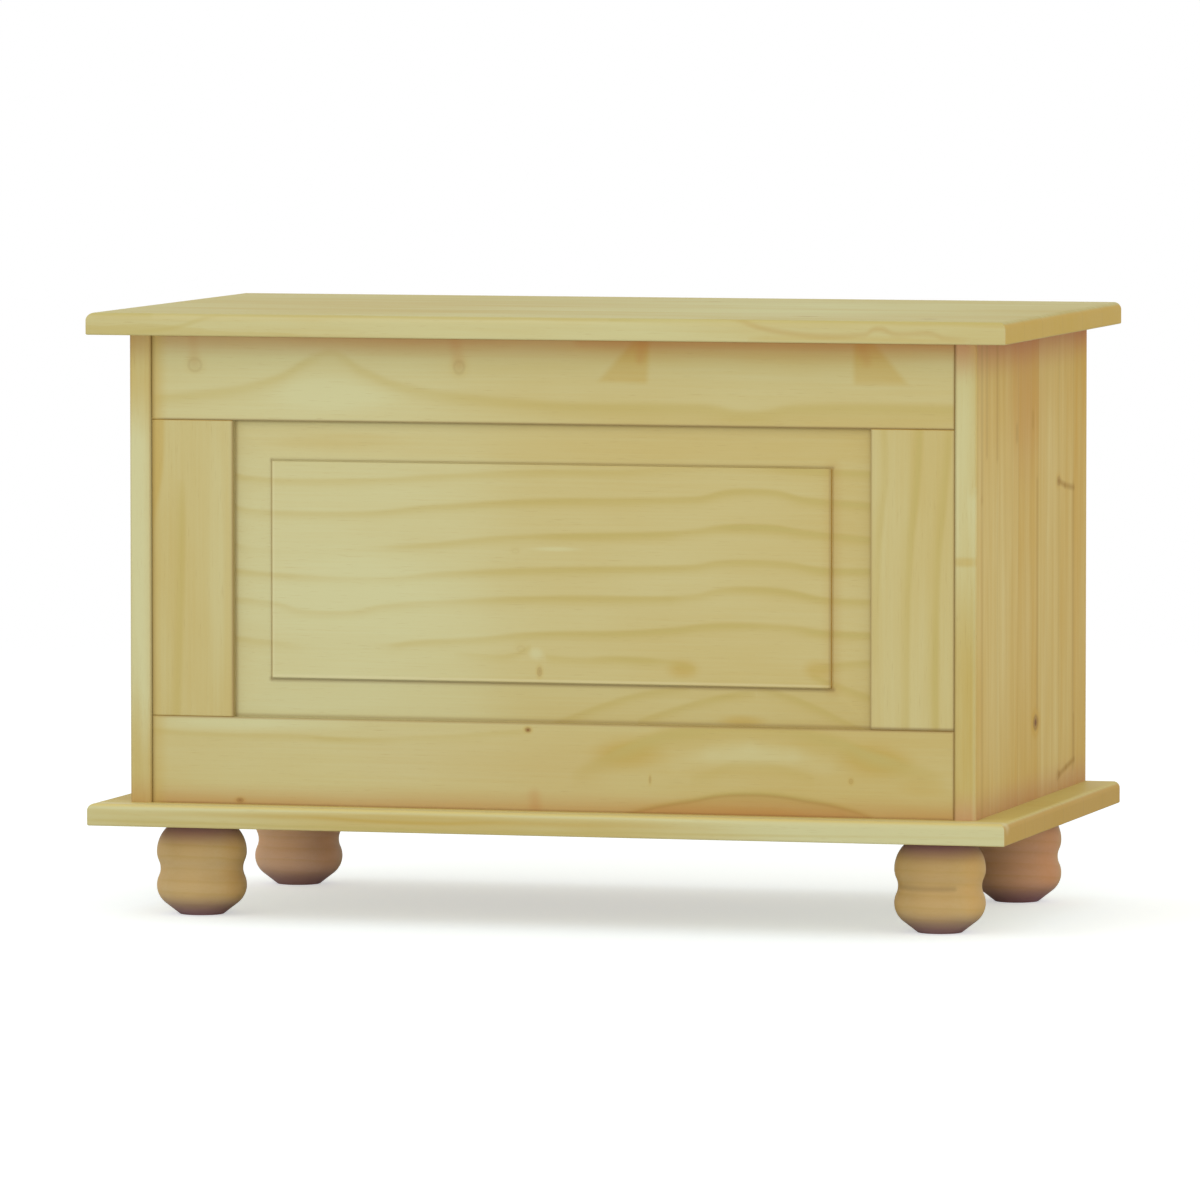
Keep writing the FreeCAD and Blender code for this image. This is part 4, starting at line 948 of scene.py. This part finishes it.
# Feet, with painted dusky shade at both ends, on the rear ones also towards the middle of the chest,
# and a painted light tint on the faces that look sideways (front feet) or forwards (rear feet)
FEET = {"left_front_foot": FaceShading("x", 0, .3, .95, (1.14, 1.17, 1.22)),
        "right_front_foot": FaceShading("x", 0, .3, .95, (1.16, 1.18, 1.18)),
        "left_rear_foot": FaceShading("y", -1, -.45, .35, (1.31, 1.18, 1.6)),
        "right_rear_foot": FaceShading("y", -1, -.45, .35, (1.125, 0.9, 1.21))}
INWARD_SHADE = {"left_rear_foot": (1, .24), "right_rear_foot": (-1, .1)}
for seed, (name, foot_shading) in enumerate(FEET.items(), 13):
    low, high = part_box(name)
    middle = (low.x + high.x) / 2
    foot_shade_ramps = [ShadeRamp("z", low.z + .022, low.z, .8, FOOT_SHADE), ShadeRamp("z", high.z - .025, high.z - .002, .97, FOOT_SHADE)]
    if name in INWARD_SHADE:
        inward, strength = INWARD_SHADE[name]
        foot_shade_ramps.append(ShadeRamp("x", middle - .005 * inward, middle + .04 * inward, strength, FOOT_SHADE))
    # Painted shade in the waist of the right front foot.
    waist_shade = [Stroke((middle - .032, .0417), (middle + .02, .0417), .0042, .26, GRIME_AND_SHADE)]
    pine(name, "x", "z", seed, spacing=0.011, amber=0.66, contrast=0.4, wander=0.9, slant=0.1,
         tone=(1.11, 0.94, 1.05), end_cover=0.25, soil=foot_shade_ramps, face_tone=foot_shading,
         strokes=waist_shade if name == "right_front_foot" else ())

# Back panel and dowels
plywood("back_panel")
for name in ("front_rail_dowels", "back_rail_dowels", "gable_dowels"):
    beech(name)

# Hinges, stays, screws and bolts, each with the times a metre that its brushing varies in x, y and z
HINGE_BRUSH = (60.0, 900.0, 900.0)
STAY_BRUSH = (900.0, 700.0, 60.0)
STEEL_SCREW_BRUSH = (500.0, 500.0, 120.0)
BRASS_SCREW_BRUSH = (500.0, 500.0, 500.0)
for hand in ("left", "right"):
    for name in ("hinge_lid_leaf", "hinge_rail_leaf", "hinge_pin"):
        metal(f"{hand}_{name}", BRASS, BRASS_DULL, HINGE_BRUSH, 0.24)
    for name in ("stay_arm", "stay_bracket", "stay_rivet", "stay_stud"):
        metal(f"{hand}_{name}", STEEL, STEEL_DULL, STAY_BRUSH, 0.28)
for name in ("base_screws", "batten_screws", "bracket_screws", "foot_bolts"):
    metal(name, STEEL, STEEL_DULL, STEEL_SCREW_BRUSH, 0.30)
for name in ("hinge_lid_screws", "hinge_rail_screws"):
    metal(name, BRASS, BRASS_DULL, BRASS_SCREW_BRUSH, 0.26)


def aim(direction):
    """The turn that points a lamp or a camera in a direction."""
    return direction.to_track_quat("-Z", "Y").to_euler()


def lamp(name, place, target, size, power, colour):
    """A round soft lamp that points at target."""
    data = bpy.data.lights.new(name, "AREA")
    data.shape = "DISK"
    data.size = size
    data.energy = power
    data.color = colour
    item = bpy.data.objects.new(name, data)
    item.location = place
    item.rotation_euler = aim(Vector(target) - Vector(place))
    bpy.context.scene.collection.objects.link(item)


def studio_world():
    """Warm soft light from all around, white where the camera, a reflection or a clear thing sees it."""
    world = bpy.data.worlds.new("studio")
    bpy.context.scene.world = world
    g = Graph(world)
    ray = g.new("LightPath").outputs
    seen = ray["Is Camera Ray"]
    for kind in ("Is Glossy Ray", "Is Transmission Ray"):
        seen = g.math("MAXIMUM", seen, ray[kind])
    soft = g.new("Background", WARM_WHITE, SOFT_LIGHT)
    white = g.new("Background", WHITE, 1.0)
    either = g.new("MixShader", seen, soft.outputs[0], white.outputs[0])
    g.new("OutputWorld", either.outputs[0])


def floor_material():
    """A pale floor that keeps the shadow and fades out into the white background."""
    g = Finish("floor")
    ray = g.new("LightPath").outputs
    diffuse = g.new("BsdfDiffuse", COOL_WHITE)
    glow = g.new("Emission", WHITE, g.times(ray["Is Camera Ray"], FLOOR_GLOW))
    pale = g.new("AddShader", diffuse.outputs[0], glow.outputs[0])
    clear = g.new("BsdfTransparent")
    away = g.remap(g.vector("LENGTH", g.here), FADE_START, FADE_END, smooth=True)
    return g.show(g.new("MixShader", away, pale.outputs[0], clear.outputs[0]))


# Studio light
CHEST_MIDDLE = (0, 0, 0.3)
CHEST_FOOT = (0, 0, 0.1)
SOFT_LIGHT = 0.78
lamp("key", (-1.67, -3.13, 3.07), CHEST_MIDDLE, 2.4, 24.0, (0.94, 0.97, 1.0))
lamp("fill", (3.41, -1.81, 1.33), CHEST_MIDDLE, 2.6, 3.0, (1.0, 0.88, 0.74))
lamp("low", (0.9, -4.2, 0.32), CHEST_FOOT, 1.0, 37.0, (1.0, 0.88, 0.81))
studio_world()

# Floor, a hair below the soles of the feet
FLOOR_RADIUS = 4.0
FLOOR_DROP = 0.0002
FLOOR_GLOW = 0.5
FADE_START = 1.2
FADE_END = 3.6
bpy.ops.mesh.primitive_circle_add(vertices=128, radius=FLOOR_RADIUS, fill_type="NGON",
                                  location=(0, 0, -FLOOR_DROP))
floor = bpy.context.object
floor.name = "floor"
floor.data.materials.append(floor_material())

# Camera, fitted to the edges of the lid, the base and the gables in the photo
TARGET = Vector((-0.00918, -0.00342, 0.28219))
AZIMUTH = math.radians(14.96)
ELEVATION = math.radians(3.79)
DISTANCE = 10.0758
FOCAL_LENGTH = 330.645
SENSOR_WIDTH = 36.0
level = math.cos(ELEVATION)
back = Vector((math.sin(AZIMUTH) * level, -math.cos(AZIMUTH) * level, math.sin(ELEVATION)))
lens = bpy.data.cameras.new("camera")
lens.lens = FOCAL_LENGTH
lens.sensor_width = SENSOR_WIDTH
lens.clip_start = 0.1
lens.clip_end = 100.0
camera = bpy.data.objects.new("camera", lens)
camera.location = TARGET + back * DISTANCE
camera.rotation_euler = aim(-back)
bpy.context.scene.collection.objects.link(camera)
bpy.context.scene.camera = camera
bpy.context.scene.view_settings.view_transform = "Standard"
